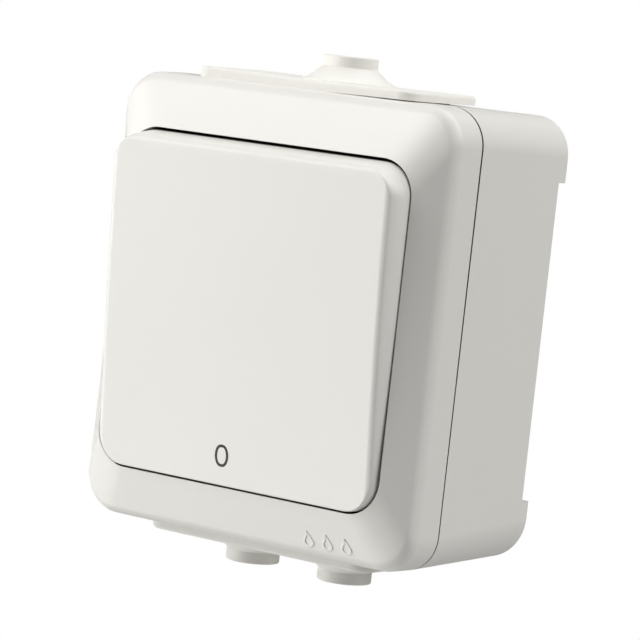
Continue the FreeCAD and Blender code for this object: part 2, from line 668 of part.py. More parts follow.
crown_circle = Part.Circle(FreeCAD.Vector(crown_radius - number("sizes.face_rise"), 0, 0),
                           FreeCAD.Vector(0, 0, 1), crown_radius)
crown.addGeometry(Part.ArcOfCircle(crown_circle, math.pi - crown_angle, math.pi + crown_angle), False)
crown_points = (
    FreeCAD.Vector(crown_edge, -crown_half, 0), FreeCAD.Vector(crown_front, -crown_half, 0),
    FreeCAD.Vector(crown_front, crown_half, 0), FreeCAD.Vector(crown_edge, crown_half, 0),
)
for start, end in zip(crown_points[:-1], crown_points[1:]):
    crown.addGeometry(Part.LineSegment(start, end), False)
for one, following in ((0, 1), (1, 2), (2, 3), (3, 0)):
    crown.addConstraint(Sketcher.Constraint("Coincident", one, 2, following, 1))
bind(crown, Sketcher.Constraint("Radius", 0, crown_radius), CROWN_RADIUS)
place_point(crown, 1, 1, None, "-" + CROWN_HALF)
place_point(crown, 1, 2, "-(sizes.face_rise + sizes.overrun)", "-" + CROWN_HALF)
place_point(crown, 2, 2, "-(sizes.face_rise + sizes.overrun)", CROWN_HALF)
place_point(crown, 3, 2, "-(sizes.face_rise - sizes.face_crown)", CROWN_HALF)
crown.addConstraint(Sketcher.Constraint("PointOnObject", 0, 3, -1))
crown_cut = pocket(rocker, "crown", crown, size("body_width"), both_ways=True)
crown_face = max(crown_cut.Shape.Faces, key=lambda face: face.Area)
dress(rocker, "Fillet", "face_edge", crown_cut,
      lambda edge: any(edge.isSame(other) for other in crown_face.Edges), size("face_round"))
cavity = new_sketch(rocker, "cavity_outline", "XZ_Plane", SKIRT_EDGE)
draw_centred_box(cavity, ROCKER_HALF_WIDTH + " - sizes.rocker_wall",
                 ROCKER_HALF_HEIGHT + " - sizes.rocker_wall", ROCKER_RADIUS + " - sizes.rocker_wall")
pocket(rocker, "cavity", cavity, "%s - %s" % (CEILING, SKIRT_EDGE), forward=True)
RIB_INNER = "(sizes.ear_across + sizes.ear_thickness / 2 + sizes.rocker_rib_gap)"
RIB_BACK = "-(sizes.pivot_pin_radius + sizes.rocker_rib_gap)"
ribs = new_sketch(rocker, "rib_outlines", "XZ_Plane", RIB_BACK)
for side in SIDES:
    near, far = "%d * %s" % (side, RIB_INNER), "%d * (%s + sizes.rocker_rib_thickness)" % (side, RIB_INNER)
    draw_box(ribs, near if side > 0 else far, far if side > 0 else near,
             "-sizes.rocker_rib_width / 2", "sizes.rocker_rib_width / 2")
pad(rocker, "ribs", ribs, "%s + sizes.face_crown - (%s)" % (CEILING, RIB_BACK))
for side, name in ((-1, "left"), (1, "right")):
    pin = new_sketch(rocker, "pin_circle_" + name, "YZ_Plane", "%d * %s" % (side, RIB_INNER))
    draw_circle(pin, "0", "0", size("pivot_pin_radius"))
    pad(rocker, "pin_" + name, pin, "sizes.rocker_rib_gap + sizes.ear_thickness", forward=side < 0)
blade = new_sketch(rocker, "blade_outline", "XZ_Plane", "-sizes.blade_reach")
draw_box(blade, "-sizes.blade_width / 2", "sizes.blade_width / 2",
         "-sizes.blade_thickness / 2", "sizes.blade_thickness / 2")
blade_pad = pad(rocker, "blade", blade, "%s + sizes.face_crown + sizes.blade_reach" % CEILING)
blade_reach, blade_thickness = number("sizes.blade_reach"), number("sizes.blade_thickness")
dress(rocker, "Fillet", "blade_tip", blade_pad,
      lambda edge: in_plane(edge, "y", blade_reach) and edge.BoundBox.XLength > blade_thickness,
      "sizes.blade_thickness / 3")
turn_about(rocker, PIVOT, size("rocker_tilt"))

# Rocker seal: a rubber flange on the pan floor with a sleeve round the blade
seal = new_body("rocker_seal")
SLEEVE_HALF_WIDTH = "(sizes.blade_width / 2 + sizes.seal_clearance)"
SLEEVE_HALF_HEIGHT = "(sizes.blade_thickness / 2 + sizes.seal_clearance)"
flange = new_sketch(seal, "seal_flange_outline", "XZ_Plane", PAN_FLOOR)
draw_centred_box(flange, "sizes.seal_flange_width / 2", "sizes.seal_flange_height / 2",
                 "2 * sizes.seal_sleeve_wall")
pad(seal, "seal_flange", flange, size("seal_flange_thickness"))
sleeve = new_sketch(seal, "seal_sleeve_outline", "XZ_Plane", PAN_FLOOR)
draw_centred_box(sleeve, SLEEVE_HALF_WIDTH + " + sizes.seal_sleeve_wall",
                 SLEEVE_HALF_HEIGHT + " + sizes.seal_sleeve_wall", size("seal_sleeve_wall"))
pad(seal, "seal_sleeve", sleeve, size("seal_sleeve_height"))
slit = new_sketch(seal, "seal_slit_outline", "XZ_Plane", "%s + sizes.seal_sleeve_height" % PAN_FLOOR)
draw_box(slit, "-" + SLEEVE_HALF_WIDTH, SLEEVE_HALF_WIDTH, "-" + SLEEVE_HALF_HEIGHT, SLEEVE_HALF_HEIGHT)
pocket(seal, "seal_slit", slit, "sizes.seal_sleeve_height + sizes.overrun")


def make_entry(name, places, setback="0"):
    """A rubber entry for the top wall: outer plate, neck in the slot, inner lip and closed nipples."""
    body = new_body(name)
    nipple_depth = "(sizes.nipple_depth - %s)" % setback
    plate = new_sketch(body, name + "_plate_outline", "XY_Plane", HALF_HEIGHT)
    draw_rounded_box(plate, "-sizes.entry_plate_width / 2", "sizes.entry_plate_width / 2",
                     "-sizes.entry_plate_front + " + setback, "-sizes.entry_plate_back + " + setback,
                     size("entry_plate_radius"))
    plate_pad = pad(body, name + "_plate", plate, size("entry_plate_thickness"))
    top = number("sizes.body_height / 2 + sizes.entry_plate_thickness")
    dress(body, "Chamfer", name + "_plate_edge", plate_pad,
          lambda edge: in_plane(edge, "z", top), size("entry_plate_chamfer"))
    neck = new_sketch(body, name + "_neck_outline", "XY_Plane", LIP_TOP)
    draw_rounded_box(neck, "-%s + sizes.entry_clearance" % ENTRY_HALF,
                     "%s - sizes.entry_clearance" % ENTRY_HALF,
                     "-%s + sizes.entry_clearance" % ENTRY_FRONT,
                     "-%s - sizes.entry_clearance" % ENTRY_BACK, size("entry_neck_radius"))
    pad(body, name + "_neck", neck, "%s - %s" % (HALF_HEIGHT, LIP_TOP))
    lip = new_sketch(body, name + "_lip_outline", "XY_Plane", LIP_TOP)
    draw_rounded_box(lip, "-%s - sizes.entry_lip" % ENTRY_HALF, "%s + sizes.entry_lip" % ENTRY_HALF,
                     "-%s - sizes.entry_lip" % ENTRY_FRONT, "-%s + sizes.entry_lip" % ENTRY_BACK,
                     size("entry_neck_radius"))
    pad(body, name + "_lip", lip, size("entry_lip_thickness"), forward=False)
    plate_top = "(sizes.body_height / 2 + sizes.entry_plate_thickness)"
    cone_top = "(%s + sizes.cone_height)" % plate_top
    tip = "(%s + sizes.nipple_height)" % cone_top
    for index, place in enumerate(places):
        label = "%s_nipple_%d" % (name, index + 1)
        profile = new_sketch(body, label + "_profile", "XZ_Plane", nipple_depth, place)
        draw_polygon(profile, (("0", HALF_HEIGHT), ("sizes.cone_radius", HALF_HEIGHT),
                               ("sizes.cone_radius", plate_top), ("sizes.nipple_radius", cone_top),
                               ("sizes.nipple_radius", tip), ("0", tip)))
        revolve(body, "Revolution", label, profile, "V_Axis")
        bore = new_sketch(body, label + "_bore_profile", "XZ_Plane", nipple_depth, place)
        bore_low = "(%s - sizes.entry_lip_thickness - sizes.overrun)" % LIP_TOP
        bore_high = "(%s - sizes.nipple_skin)" % tip
        draw_polygon(bore, (("0", bore_low), ("sizes.nipple_bore_radius", bore_low),
                            ("sizes.nipple_bore_radius", bore_high), ("0", bore_high)))
        revolve(body, "Groove", label + "_bore", bore, "V_Axis")
    return body


# Cable entries: one closed nipple on top, two below
make_entry("top_cable_entry", ("0",))
bottom_entry = make_entry("bottom_cable_entry", ("-sizes.nipple_pitch / 2", "sizes.nipple_pitch / 2"),
                          size("bottom_plate_setback"))
half_turn = FreeCAD.Rotation(FreeCAD.Vector(0, 1, 0), 180.0)
bottom_entry.Placement = FreeCAD.Placement(FreeCAD.Vector(), half_turn)

# Mechanism housing: an insulating tray in two chambers, with screw lugs at its sides
housing = new_body("mechanism_housing")
HOUSING_HALF_WIDTH = "(sizes.housing_width / 2)"
HOUSING_HALF_HEIGHT = "(sizes.housing_height / 2)"
CHAMBER_HALF_WIDTH = "(sizes.chamber_width / 2)"
CHAMBER_HALF_HEIGHT = "(sizes.chamber_height / 2)"
block = new_sketch(housing, "housing_outline", "XZ_Plane", size("housing_back"))
draw_centred_box(block, HOUSING_HALF_WIDTH, HOUSING_HALF_HEIGHT, size("housing_round"))
pad(housing, "housing_block", block, "sizes.housing_front - sizes.housing_back")
lugs = new_sketch(housing, "lug_outline", "XZ_Plane", size("lug_back"))
LUG_HALF = "(sizes.lug_screw_across + sizes.lug_width / 2)"
draw_centred_box(lugs, LUG_HALF, "sizes.lug_width / 2", size("lug_end_radius"))
pad(housing, "lugs", lugs, size("lug_thickness"))
chamber = new_sketch(housing, "chamber_outline", "XZ_Plane", size("housing_front"))
draw_box(chamber, "-" + CHAMBER_HALF_WIDTH, CHAMBER_HALF_WIDTH,
         "-" + CHAMBER_HALF_HEIGHT, CHAMBER_HALF_HEIGHT)
pocket(housing, "chamber", chamber, "sizes.housing_front - sizes.chamber_floor")
partition = new_sketch(housing, "partition_outline", "XZ_Plane", size("housing_back"))
draw_box(partition, "-sizes.housing_wall / 2", "sizes.housing_wall / 2",
         "-%s - sizes.housing_wall / 2" % CHAMBER_HALF_HEIGHT,
         "%s + sizes.housing_wall / 2" % CHAMBER_HALF_HEIGHT)
pad(housing, "partition", partition, "sizes.partition_front - sizes.housing_back")
CHEEK_INNER = "(sizes.terminal_width / 2 + sizes.terminal_clearance)"
CHEEK_LOW = "(sizes.terminal_up - sizes.terminal_length / 2)"
cheeks = new_sketch(housing, "cheek_outlines", "XZ_Plane", size("housing_back"))
for pole in SIDES:
    for level in SIDES:
        for way in SIDES:
            near = "%d * sizes.pole_across + %d * %s" % (pole, way, CHEEK_INNER)
            far = "%d * sizes.pole_across + %d * (%s + sizes.housing_wall)" % (pole, way, CHEEK_INNER)
            low = "%d * %s" % (level, CHEEK_LOW)
            high = "%d * (%s + sizes.housing_wall / 2)" % (level, CHAMBER_HALF_HEIGHT)
            across = (near, far) if way > 0 else (far, near)
            upright = (low, high) if level > 0 else (high, low)
            draw_box(cheeks, *across, *upright)
pad(housing, "cheeks", cheeks, "sizes.wire_depth + sizes.wire_bore_radius - sizes.housing_back")
ledges = new_sketch(housing, "ledge_outlines", "XZ_Plane", size("housing_back"))
for pole in SIDES:
    draw_box(ledges, "%d * sizes.pole_across - sizes.strip_width / 2" % pole,
             "%d * sizes.pole_across + sizes.strip_width / 2" % pole,
             "sizes.contact_up - sizes.contact_radius", "%s - sizes.terminal_clearance" % CHEEK_LOW)
pad(housing, "ledges", ledges, "sizes.load_strip_back - sizes.housing_back")
stops = new_sketch(housing, "stop_outlines", "XZ_Plane", size("housing_back"))
STOP_NEAR = "(sizes.strip_width / 2 + sizes.terminal_clearance)"
for pole in SIDES:
    for way in SIDES:
        near = "%d * sizes.pole_across + %d * %s" % (pole, way, STOP_NEAR)
        far = "%d * sizes.pole_across + %d * (%s + sizes.housing_wall)" % (pole, way, STOP_NEAR)
        draw_box(stops, *(near, far) if way > 0 else (far, near),
                 "-sizes.contact_up - sizes.housing_wall", "-sizes.contact_up")
pad(housing, "stops", stops, "sizes.stop_front - sizes.housing_back")
PIN_SLOT = "(sizes.cradle_pin_radius + sizes.pin_clearance)"
pin_holes = new_sketch(housing, "cradle_hole_circle", "YZ_Plane")
draw_circle(pin_holes, "-sizes.cradle_depth", "0", PIN_SLOT)
pocket(housing, "cradle_holes", pin_holes, "sizes.housing_width + sizes.overrun", both_ways=True)
pin_slots = new_sketch(housing, "cradle_slot_outline", "YZ_Plane")
draw_box(pin_slots, "-sizes.housing_front - sizes.overrun", "-sizes.cradle_depth", "-" + PIN_SLOT, PIN_SLOT)
pocket(housing, "cradle_slots", pin_slots, "sizes.housing_width + sizes.overrun", both_ways=True)
lug_holes = new_sketch(housing, "lug_hole_circles", "XZ_Plane", "sizes.lug_back + sizes.lug_thickness")
for side in SIDES:
    draw_circle(lug_holes, "%d * sizes.lug_screw_across" % side, "0",
                "sizes.housing_screw_radius + sizes.screw_clearance")
pocket(housing, "lug_holes", lug_holes, "sizes.lug_thickness + sizes.overrun")
for level, name in ((1, "top"), (-1, "bottom")):
    wires = new_sketch(housing, "wire_hole_circles_" + name, "XY_Plane",
                       "%d * %s" % (level, HOUSING_HALF_HEIGHT))
    for pole in SIDES:
        draw_circle(wires, "%d * sizes.pole_across" % pole, "-sizes.wire_depth", size("wire_hole_radius"))
    pocket(housing, "wire_holes_" + name, wires, "1.5 * sizes.housing_wall", forward=level < 0)

# Mechanism lid: a plate with a window for the fork and holes over the terminal screws
lid = new_body("mechanism_lid")
lid_plate = new_sketch(lid, "lid_outline", "XZ_Plane", size("housing_front"))
draw_centred_box(lid_plate, HOUSING_HALF_WIDTH, HOUSING_HALF_HEIGHT, size("housing_round"))
pad(lid, "lid_plate", lid_plate, size("lid_thickness"))
tabs = new_sketch(lid, "tab_outlines", "XZ_Plane", size("housing_front"))
for side in SIDES:
    tab_edges = ("%d * (%s + sizes.pin_clearance)" % (side, CHAMBER_HALF_WIDTH),
                 "%d * (%s - sizes.pin_clearance)" % (side, HOUSING_HALF_WIDTH))
    draw_box(tabs, *tab_edges[::side], "-sizes.cradle_pin_radius", "sizes.cradle_pin_radius")
pad(lid, "tabs", tabs,
    "sizes.housing_front - sizes.cradle_depth - sizes.cradle_pin_radius - 2 * sizes.pin_clearance",
    forward=False)
window = new_sketch(lid, "lid_window_outline", "XZ_Plane", "sizes.housing_front + sizes.lid_thickness")
draw_box(window, "-sizes.lid_window_width / 2", "sizes.lid_window_width / 2",
         "-sizes.lid_window_height / 2", "sizes.lid_window_height / 2")
for pole in SIDES:
    for level in SIDES:
        draw_circle(window, "%d * sizes.pole_across" % pole, "%d * sizes.terminal_up" % level,
                    "sizes.terminal_head_radius + sizes.screw_clearance")
pocket(lid, "lid_openings", window, "sizes.lid_thickness + sizes.overrun")

# Cradle: a see-saw block with a fork for the blade and two tubes for the plungers
cradle = new_body("switch_cradle")
cradle_block = new_sketch(cradle, "cradle_outline", "XZ_Plane", "-sizes.cradle_behind")
draw_box(cradle_block, "-sizes.cradle_width / 2", "sizes.cradle_width / 2",
         "-sizes.cradle_height / 2", "sizes.cradle_height / 2")
pad(cradle, "cradle_block", cradle_block, "sizes.cradle_behind + sizes.cradle_ahead")
prongs = new_sketch(cradle, "prong_outlines", "XZ_Plane")
for level in SIDES:
    near, far = "%d * sizes.fork_slot / 2" % level, "%d * (sizes.fork_slot / 2 + sizes.fork_wall)" % level
    draw_box(prongs, "-sizes.fork_width / 2", "sizes.fork_width / 2",
             near if level > 0 else far, far if level > 0 else near)
pad(cradle, "prongs", prongs, size("fork_reach"))
tubes = new_sketch(cradle, "tube_circles", "XZ_Plane", "-sizes.tube_reach")
for pole in SIDES:
    draw_circle(tubes, "%d * sizes.pole_across" % pole, "0", size("tube_radius"))
pad(cradle, "tubes", tubes, size("tube_reach"))
tube_bores = new_sketch(cradle, "tube_bore_circles", "XZ_Plane", "-sizes.tube_reach")
for pole in SIDES:
    draw_circle(tube_bores, "%d * sizes.pole_across" % pole, "0", size("plunger_bore_radius"))
pocket(cradle, "tube_bores", tube_bores, "sizes.tube_reach + sizes.plunger_bore_top", forward=True)
cradle_pins = new_sketch(cradle, "cradle_pin_circle", "YZ_Plane",
                         "-sizes.cradle_width / 2 - sizes.cradle_pin_reach")
draw_circle(cradle_pins, "0", "0", size("cradle_pin_radius"))
pad(cradle, "left_pin", cradle_pins, "sizes.cradle_pin_reach")
cradle_pins = new_sketch(cradle, "cradle_pin_circle_right", "YZ_Plane", "sizes.cradle_width / 2")
draw_circle(cradle_pins, "0", "0", size("cradle_pin_radius"))
pad(cradle, "right_pin", cradle_pins, "sizes.cradle_pin_reach")
turn_about(cradle, size("cradle_depth"), CRADLE_TILT)

# Each pole has its own plunger, spring, contact lever, contacts and terminals
for pole, side_name in ((-1, "left"), (1, "right")):
    pole_place = "%d * sizes.pole_across" % pole

    # Plunger: a round-nosed pin with a stem for its spring, turned about the tube's axis
    plunger = new_body("plunger_" + side_name)
    profile = new_sketch(plunger, "plunger_profile_" + side_name, "XY_Plane", "0", pole_place)
    nose_flat = "sizes.plunger_radius / 2"
    draw_polygon(profile, (("0", "sizes.plunger_tip"), (nose_flat, "sizes.plunger_tip"),
                           ("sizes.plunger_radius", "sizes.plunger_tip - " + nose_flat),
                           ("sizes.plunger_radius", "sizes.plunger_shoulder"),
                           ("sizes.plunger_stem_radius", "sizes.plunger_shoulder"),
                           ("sizes.plunger_stem_radius", "-sizes.plunger_stem_top"),
                           ("0", "-sizes.plunger_stem_top")))
    revolve(plunger, "Revolution", "plunger_turned_" + side_name, profile, "V_Axis")
    turn_about(plunger, size("cradle_depth"), CRADLE_TILT)

    # Contact lever: a bar that rocks on the knife edge of the common terminal
    lever = new_body("contact_lever_" + side_name)
    bar = new_sketch(lever, "lever_outline_" + side_name, "XZ_Plane")
    draw_box(bar, pole_place + " - sizes.lever_width / 2", pole_place + " + sizes.lever_width / 2",
             "-sizes.lever_length / 2", "sizes.lever_length / 2")
    pad(lever, "lever_bar_" + side_name, bar, size("lever_thickness"))
    lever_lugs = new_sketch(lever, "lever_lug_outlines_" + side_name, "XZ_Plane", "-sizes.lever_lug_height")
    for level in SIDES:
        near = "%d * sizes.lever_lug_gap" % level
        far = "%d * (sizes.lever_lug_gap + sizes.lever_lug_thickness)" % level
        low, high = (near, far) if level > 0 else (far, near)
        draw_box(lever_lugs, pole_place + " - sizes.strip_width / 2",
                 pole_place + " + sizes.strip_width / 2", low, high)
    pad(lever, "lever_lugs_" + side_name, lever_lugs, "sizes.lever_lug_height + sizes.lever_thickness / 2")
    turn_about(lever, size("lever_depth"), size("lever_tilt"))

    # Moving contact: a silver disc on the back of the lever
    moving = new_body("moving_contact_" + side_name)
    disc = new_sketch(moving, "moving_contact_circle_" + side_name, "XZ_Plane", "-sizes.contact_height")
    draw_circle(disc, pole_place, size("contact_up"), size("contact_radius"))
    pad(moving, "moving_contact_disc_" + side_name, disc, size("contact_height"))
    turn_about(moving, size("lever_depth"), size("lever_tilt"))

    # Common terminal: a clamp block below, a strip on the floor and the upright knife edge
    common = new_body("common_terminal_" + side_name)
    block_left = pole_place + " - sizes.terminal_width / 2"
    block_right = pole_place + " + sizes.terminal_width / 2"
    block_end = "(sizes.terminal_up + sizes.terminal_length / 2)"
    clamp = new_sketch(common, "common_block_" + side_name, "XZ_Plane", size("terminal_back"))
    draw_box(clamp, block_left, block_right, "-" + block_end,
             "-sizes.terminal_up + sizes.terminal_length / 2")
    pad(common, "common_clamp_" + side_name, clamp, "sizes.terminal_front - sizes.terminal_back")
    strip = new_sketch(common, "common_strip_" + side_name, "XZ_Plane", size("terminal_back"))
    draw_box(strip, pole_place + " - sizes.strip_width / 2", pole_place + " + sizes.strip_width / 2",
             "-sizes.terminal_up", "sizes.strip_thickness / 2")
    pad(common, "common_floor_" + side_name, strip, size("strip_thickness"))
    knife = new_sketch(common, "common_knife_" + side_name, "YZ_Plane", pole_place)
    knife_tip = "-(sizes.lever_depth - sizes.knife_gap)"
    knife_root = "-(sizes.lever_depth - sizes.knife_gap - sizes.strip_thickness / 2)"
    half_strip = "sizes.strip_thickness / 2"
    draw_polygon(knife, (("-sizes.terminal_back", "-" + half_strip), ("-sizes.terminal_back", half_strip),
                         (knife_root, half_strip), (knife_tip, half_strip + " / 4"),
                         (knife_tip, "-" + half_strip + " / 4"), (knife_root, "-" + half_strip)))
    pad(common, "common_upright_" + side_name, knife, size("knife_width"), both_ways=True)

    # Load terminal: a clamp block above and a raised strip that carries the fixed contact
    load = new_body("load_terminal_" + side_name)
    clamp = new_sketch(load, "load_block_" + side_name, "XZ_Plane", size("terminal_back"))
    draw_box(clamp, block_left, block_right, "sizes.terminal_up - sizes.terminal_length / 2", block_end)
    pad(load, "load_clamp_" + side_name, clamp, "sizes.terminal_front - sizes.terminal_back")
    strip = new_sketch(load, "load_strip_" + side_name, "XZ_Plane", size("load_strip_back"))
    draw_box(strip, pole_place + " - sizes.strip_width / 2", pole_place + " + sizes.strip_width / 2",
             "sizes.contact_up - sizes.contact_radius", size("terminal_up"))
    pad(load, "load_arm_" + side_name, strip, size("strip_thickness"))

    # Both clamp blocks are bored for the wire and for the clamping screw
    for terminal, name, level in ((common, "common", -1), (load, "load", 1)):
        wire_bore = new_sketch(terminal, "%s_wire_%s" % (name, side_name), "XY_Plane",
                               "%d * (%s + sizes.overrun)" % (level, block_end))
        draw_circle(wire_bore, pole_place, "-sizes.wire_depth", size("wire_bore_radius"))
        pocket(terminal, "%s_wire_bore_%s" % (name, side_name), wire_bore,
               "sizes.terminal_length + 2 * sizes.overrun", forward=level < 0)
        tapping = new_sketch(terminal, "%s_screw_%s" % (name, side_name), "XZ_Plane",
                             size("terminal_front"))
        draw_circle(tapping, pole_place, "%d * sizes.terminal_up" % level,
                    "sizes.terminal_screw_radius + sizes.thread_clearance")
        pocket(terminal, "%s_screw_bore_%s" % (name, side_name), tapping,
               "sizes.terminal_front - sizes.wire_depth")

    # Plunger spring: a wire helix between the plunger's shoulder and the end of its bore
    helix = doc.addObject("Part::Helix", "spring_path_" + side_name)
    helix.setExpression("Radius", size("spring_radius"))
    helix.setExpression("Height", size("spring_length"))
    helix.setExpression("Pitch", "sizes.spring_length / sizes.spring_turns")
    wire = doc.addObject("Part::RegularPolygon", "spring_wire_" + side_name)
    wire.setExpression("Circumradius", "sizes.spring_wire / 2")
    wire.setExpression("Polygon", size("spring_wire_sides"))
    wire.Placement = FreeCAD.Placement(FreeCAD.Vector(number("sizes.spring_radius"), 0, 0),
                                       FreeCAD.Rotation(FreeCAD.Vector(1, 0, 0), 90))
    wire.setExpression(".Placement.Base.x", size("spring_radius"))
    spring = doc.addObject("Part::Sweep", "plunger_spring_" + side_name)
    spring.Label = "plunger_spring_" + side_name
    spring.Sections = [wire]
    spring.Spine = (helix, [])
    spring.Solid = True
    spring.Frenet = True
    doc.recompute()
    tilt = FreeCAD.Placement(FreeCAD.Vector(0, -number("sizes.cradle_depth"), 0),
                             FreeCAD.Rotation(FreeCAD.Vector(1, 0, 0), number(CRADLE_TILT)))
    seat = number("sizes.plunger_shoulder - sizes.spring_wire / 2 - sizes.seat_clearance")
    stand = FreeCAD.Placement(FreeCAD.Vector(number(pole_place), seat, 0),
                              FreeCAD.Rotation(FreeCAD.Vector(1, 0, 0), 90))
    spring.Placement = tilt.multiply(stand)


def fuse_solids(name, pieces):
    """One solid from several primitives."""
    fused = doc.addObject("Part::MultiFuse", name)
    fused.Shapes = pieces
    return fused


def primitive(kind, name, across, depth, up, **lengths):
    """A primitive whose own Z axis points at the front, at a place in the part's frame."""
    item = doc.addObject("Part::" + kind, name)
    for label, expression in lengths.items():
        item.setExpression(label, expression)
    item.Placement = FreeCAD.Placement(FreeCAD.Vector(), FreeCAD.Rotation(FreeCAD.Vector(1, 0, 0), 90))
    item.setExpression(".Placement.Base.x", across)
    item.setExpression(".Placement.Base.y", "-(%s)" % depth)
    item.setExpression(".Placement.Base.z", up)
    return item


def make_screw(name, across, up, seat, tip, radius, head_radius, head_height):
    """A cheese-head screw that points at the wall, with a cross recess in its head."""
    shank = primitive("Cylinder", name + "_shank", across, tip, up,
                      Radius=radius, Height="(%s) - (%s)" % (seat, tip))
    head = primitive("Cylinder", name + "_head", across, seat, up, Radius=head_radius, Height=head_height)
    whole = fuse_solids(name + "_blank", [shank, head])
    floor = "(%s) + (%s) - sizes.recess_depth" % (seat, head_height)
    slots = []
    for label, wide, high in (("level", "recess_length", "recess_width"),
                              ("upright", "recess_width", "recess_length")):
        slots.append(primitive("Box", "%s_slot_%s" % (name, label), "%s - sizes.%s / 2" % (across, wide),
                               floor, "%s - sizes.%s / 2" % (up, high), Length=size(wide),
                               Width=size(high), Height="sizes.recess_depth + sizes.overrun"))
    cross = fuse_solids(name + "_cross", slots)
    screw = doc.addObject("Part::Cut", name)
    screw.Base = whole
    screw.Tool = cross
    return screw


def make_group(name, pieces):
    """Several equal fasteners under one name."""
    group = doc.addObject("Part::Compound", name)
    group.Label = name
    group.Links = pieces
    return group


# Fasteners: cover screws on sealing washers, mechanism screws and terminal screws
COVER_SEAT = PAN_FLOOR + " + sizes.washer_thickness"
cover_screws, washers = [], []
for index, (side, level) in enumerate(COVER_SCREWS):
    across, up = "%d * sizes.cover_screw_across" % side, "%d * sizes.cover_screw_up" % level
    cover_screws.append(make_screw("cover_screw_%d" % (index + 1), across, up, COVER_SEAT,
                                   COVER_SEAT + " - sizes.cover_screw_length", size("cover_screw_radius"),
                                   size("cover_head_radius"), size("cover_head_height")))
    disc = primitive("Cylinder", "washer_disc_%d" % (index + 1), across, PAN_FLOOR, up,
                     Radius=size("cover_head_radius"), Height=size("washer_thickness"))
    hole = primitive("Cylinder", "washer_hole_%d" % (index + 1), across, PAN_FLOOR + " - sizes.overrun", up,
                     Radius="sizes.cover_screw_radius + sizes.thread_clearance",
                     Height="sizes.washer_thickness + 2 * sizes.overrun")
    washer = doc.addObject("Part::Cut", "washer_%d" % (index + 1))
    washer.Base = disc
    washer.Tool = hole
    washers.append(washer)
make_group("cover_screws", cover_screws)
make_group("cover_screw_seals", washers)
LUG_FRONT = "sizes.lug_back + sizes.lug_thickness"
make_group("mechanism_screws", [
    make_screw("mechanism_screw_%s" % name, "%d * sizes.lug_screw_across" % side, "0", LUG_FRONT,
               LUG_FRONT + " - sizes.housing_screw_length", size("housing_screw_radius"),
               size("housing_head_radius"), size("housing_head_height"))
    for side, name in ((-1, "left"), (1, "right"))])
make_group("terminal_screws", [
    make_screw("terminal_screw_%d%d" % (pole > 0, level > 0), "%d * sizes.pole_across" % pole,
               "%d * sizes.terminal_up" % level, size("terminal_head_seat"), size("terminal_screw_tip"),
               size("terminal_screw_radius"), size("terminal_head_radius"), size("terminal_head_height"))
    for pole in SIDES for level in SIDES])

# Fixed contacts: silver discs on the load strips
make_group("fixed_contacts", [
    primitive("Cylinder", "fixed_contact_" + name, "%d * sizes.pole_across" % pole,
              size("load_strip_front"), size("contact_up"), Radius=size("contact_radius"),
              Height=size("fixed_contact_height"))
    for pole, name in ((-1, "left"), (1, "right"))])

doc.recompute()

NODES = (
    "base_box", "front_cover", "cover_gasket", "rocker", "rocker_seal", "top_cable_entry",
    "bottom_cable_entry", "cover_screws", "cover_screw_seals", "mechanism_housing", "mechanism_lid",
    "mechanism_screws", "switch_cradle", "plunger_left", "plunger_right", "plunger_spring_left",
    "plunger_spring_right", "contact_lever_left", "contact_lever_right", "moving_contact_left",
    "moving_contact_right", "common_terminal_left", "common_terminal_right", "load_terminal_left",
    "load_terminal_right", "terminal_screws", "fixed_contacts",
)
for item in doc.Objects:
    if "Invalid" in item.State or "Error" in item.State:
        raise RuntimeError("%s failed: %s" % (item.Name, item.State))
for name in NODES:
    shape = doc.getObject(name).Shape
    if shape.isNull() or not shape.isValid() or not shape.Solids:
        raise RuntimeError("%s has no valid solid" % name)
for name in NODES:
    doc.getObject(name).Shape.exportStep("parts/%s.step" % name)
    print(name, len(doc.getObject(name).Shape.Solids), round(doc.getObject(name).Shape.Volume, 2))
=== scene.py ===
import math

import bmesh
import bpy
from mathutils import Matrix, Vector


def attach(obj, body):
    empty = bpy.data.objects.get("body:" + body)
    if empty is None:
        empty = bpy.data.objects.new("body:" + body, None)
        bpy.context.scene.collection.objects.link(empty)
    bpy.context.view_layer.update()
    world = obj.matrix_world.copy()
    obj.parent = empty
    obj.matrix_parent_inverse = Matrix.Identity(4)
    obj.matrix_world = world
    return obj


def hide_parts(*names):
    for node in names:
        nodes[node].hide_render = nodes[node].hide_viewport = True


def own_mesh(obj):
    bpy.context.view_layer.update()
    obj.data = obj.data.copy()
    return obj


# Outdoor surface-mounted rocker switch. Metres; X right, the wall is Y = 0, the front faces -Y, +Z up.
# A depth is a distance from the wall towards the front, so a point at depth d has Y = -d.
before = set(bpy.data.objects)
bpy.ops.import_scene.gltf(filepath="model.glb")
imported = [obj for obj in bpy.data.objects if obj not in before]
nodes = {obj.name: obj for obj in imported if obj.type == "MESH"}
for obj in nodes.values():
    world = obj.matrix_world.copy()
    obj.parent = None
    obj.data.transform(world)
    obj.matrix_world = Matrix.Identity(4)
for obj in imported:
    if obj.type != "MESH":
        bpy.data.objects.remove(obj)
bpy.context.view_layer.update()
MM = 0.001


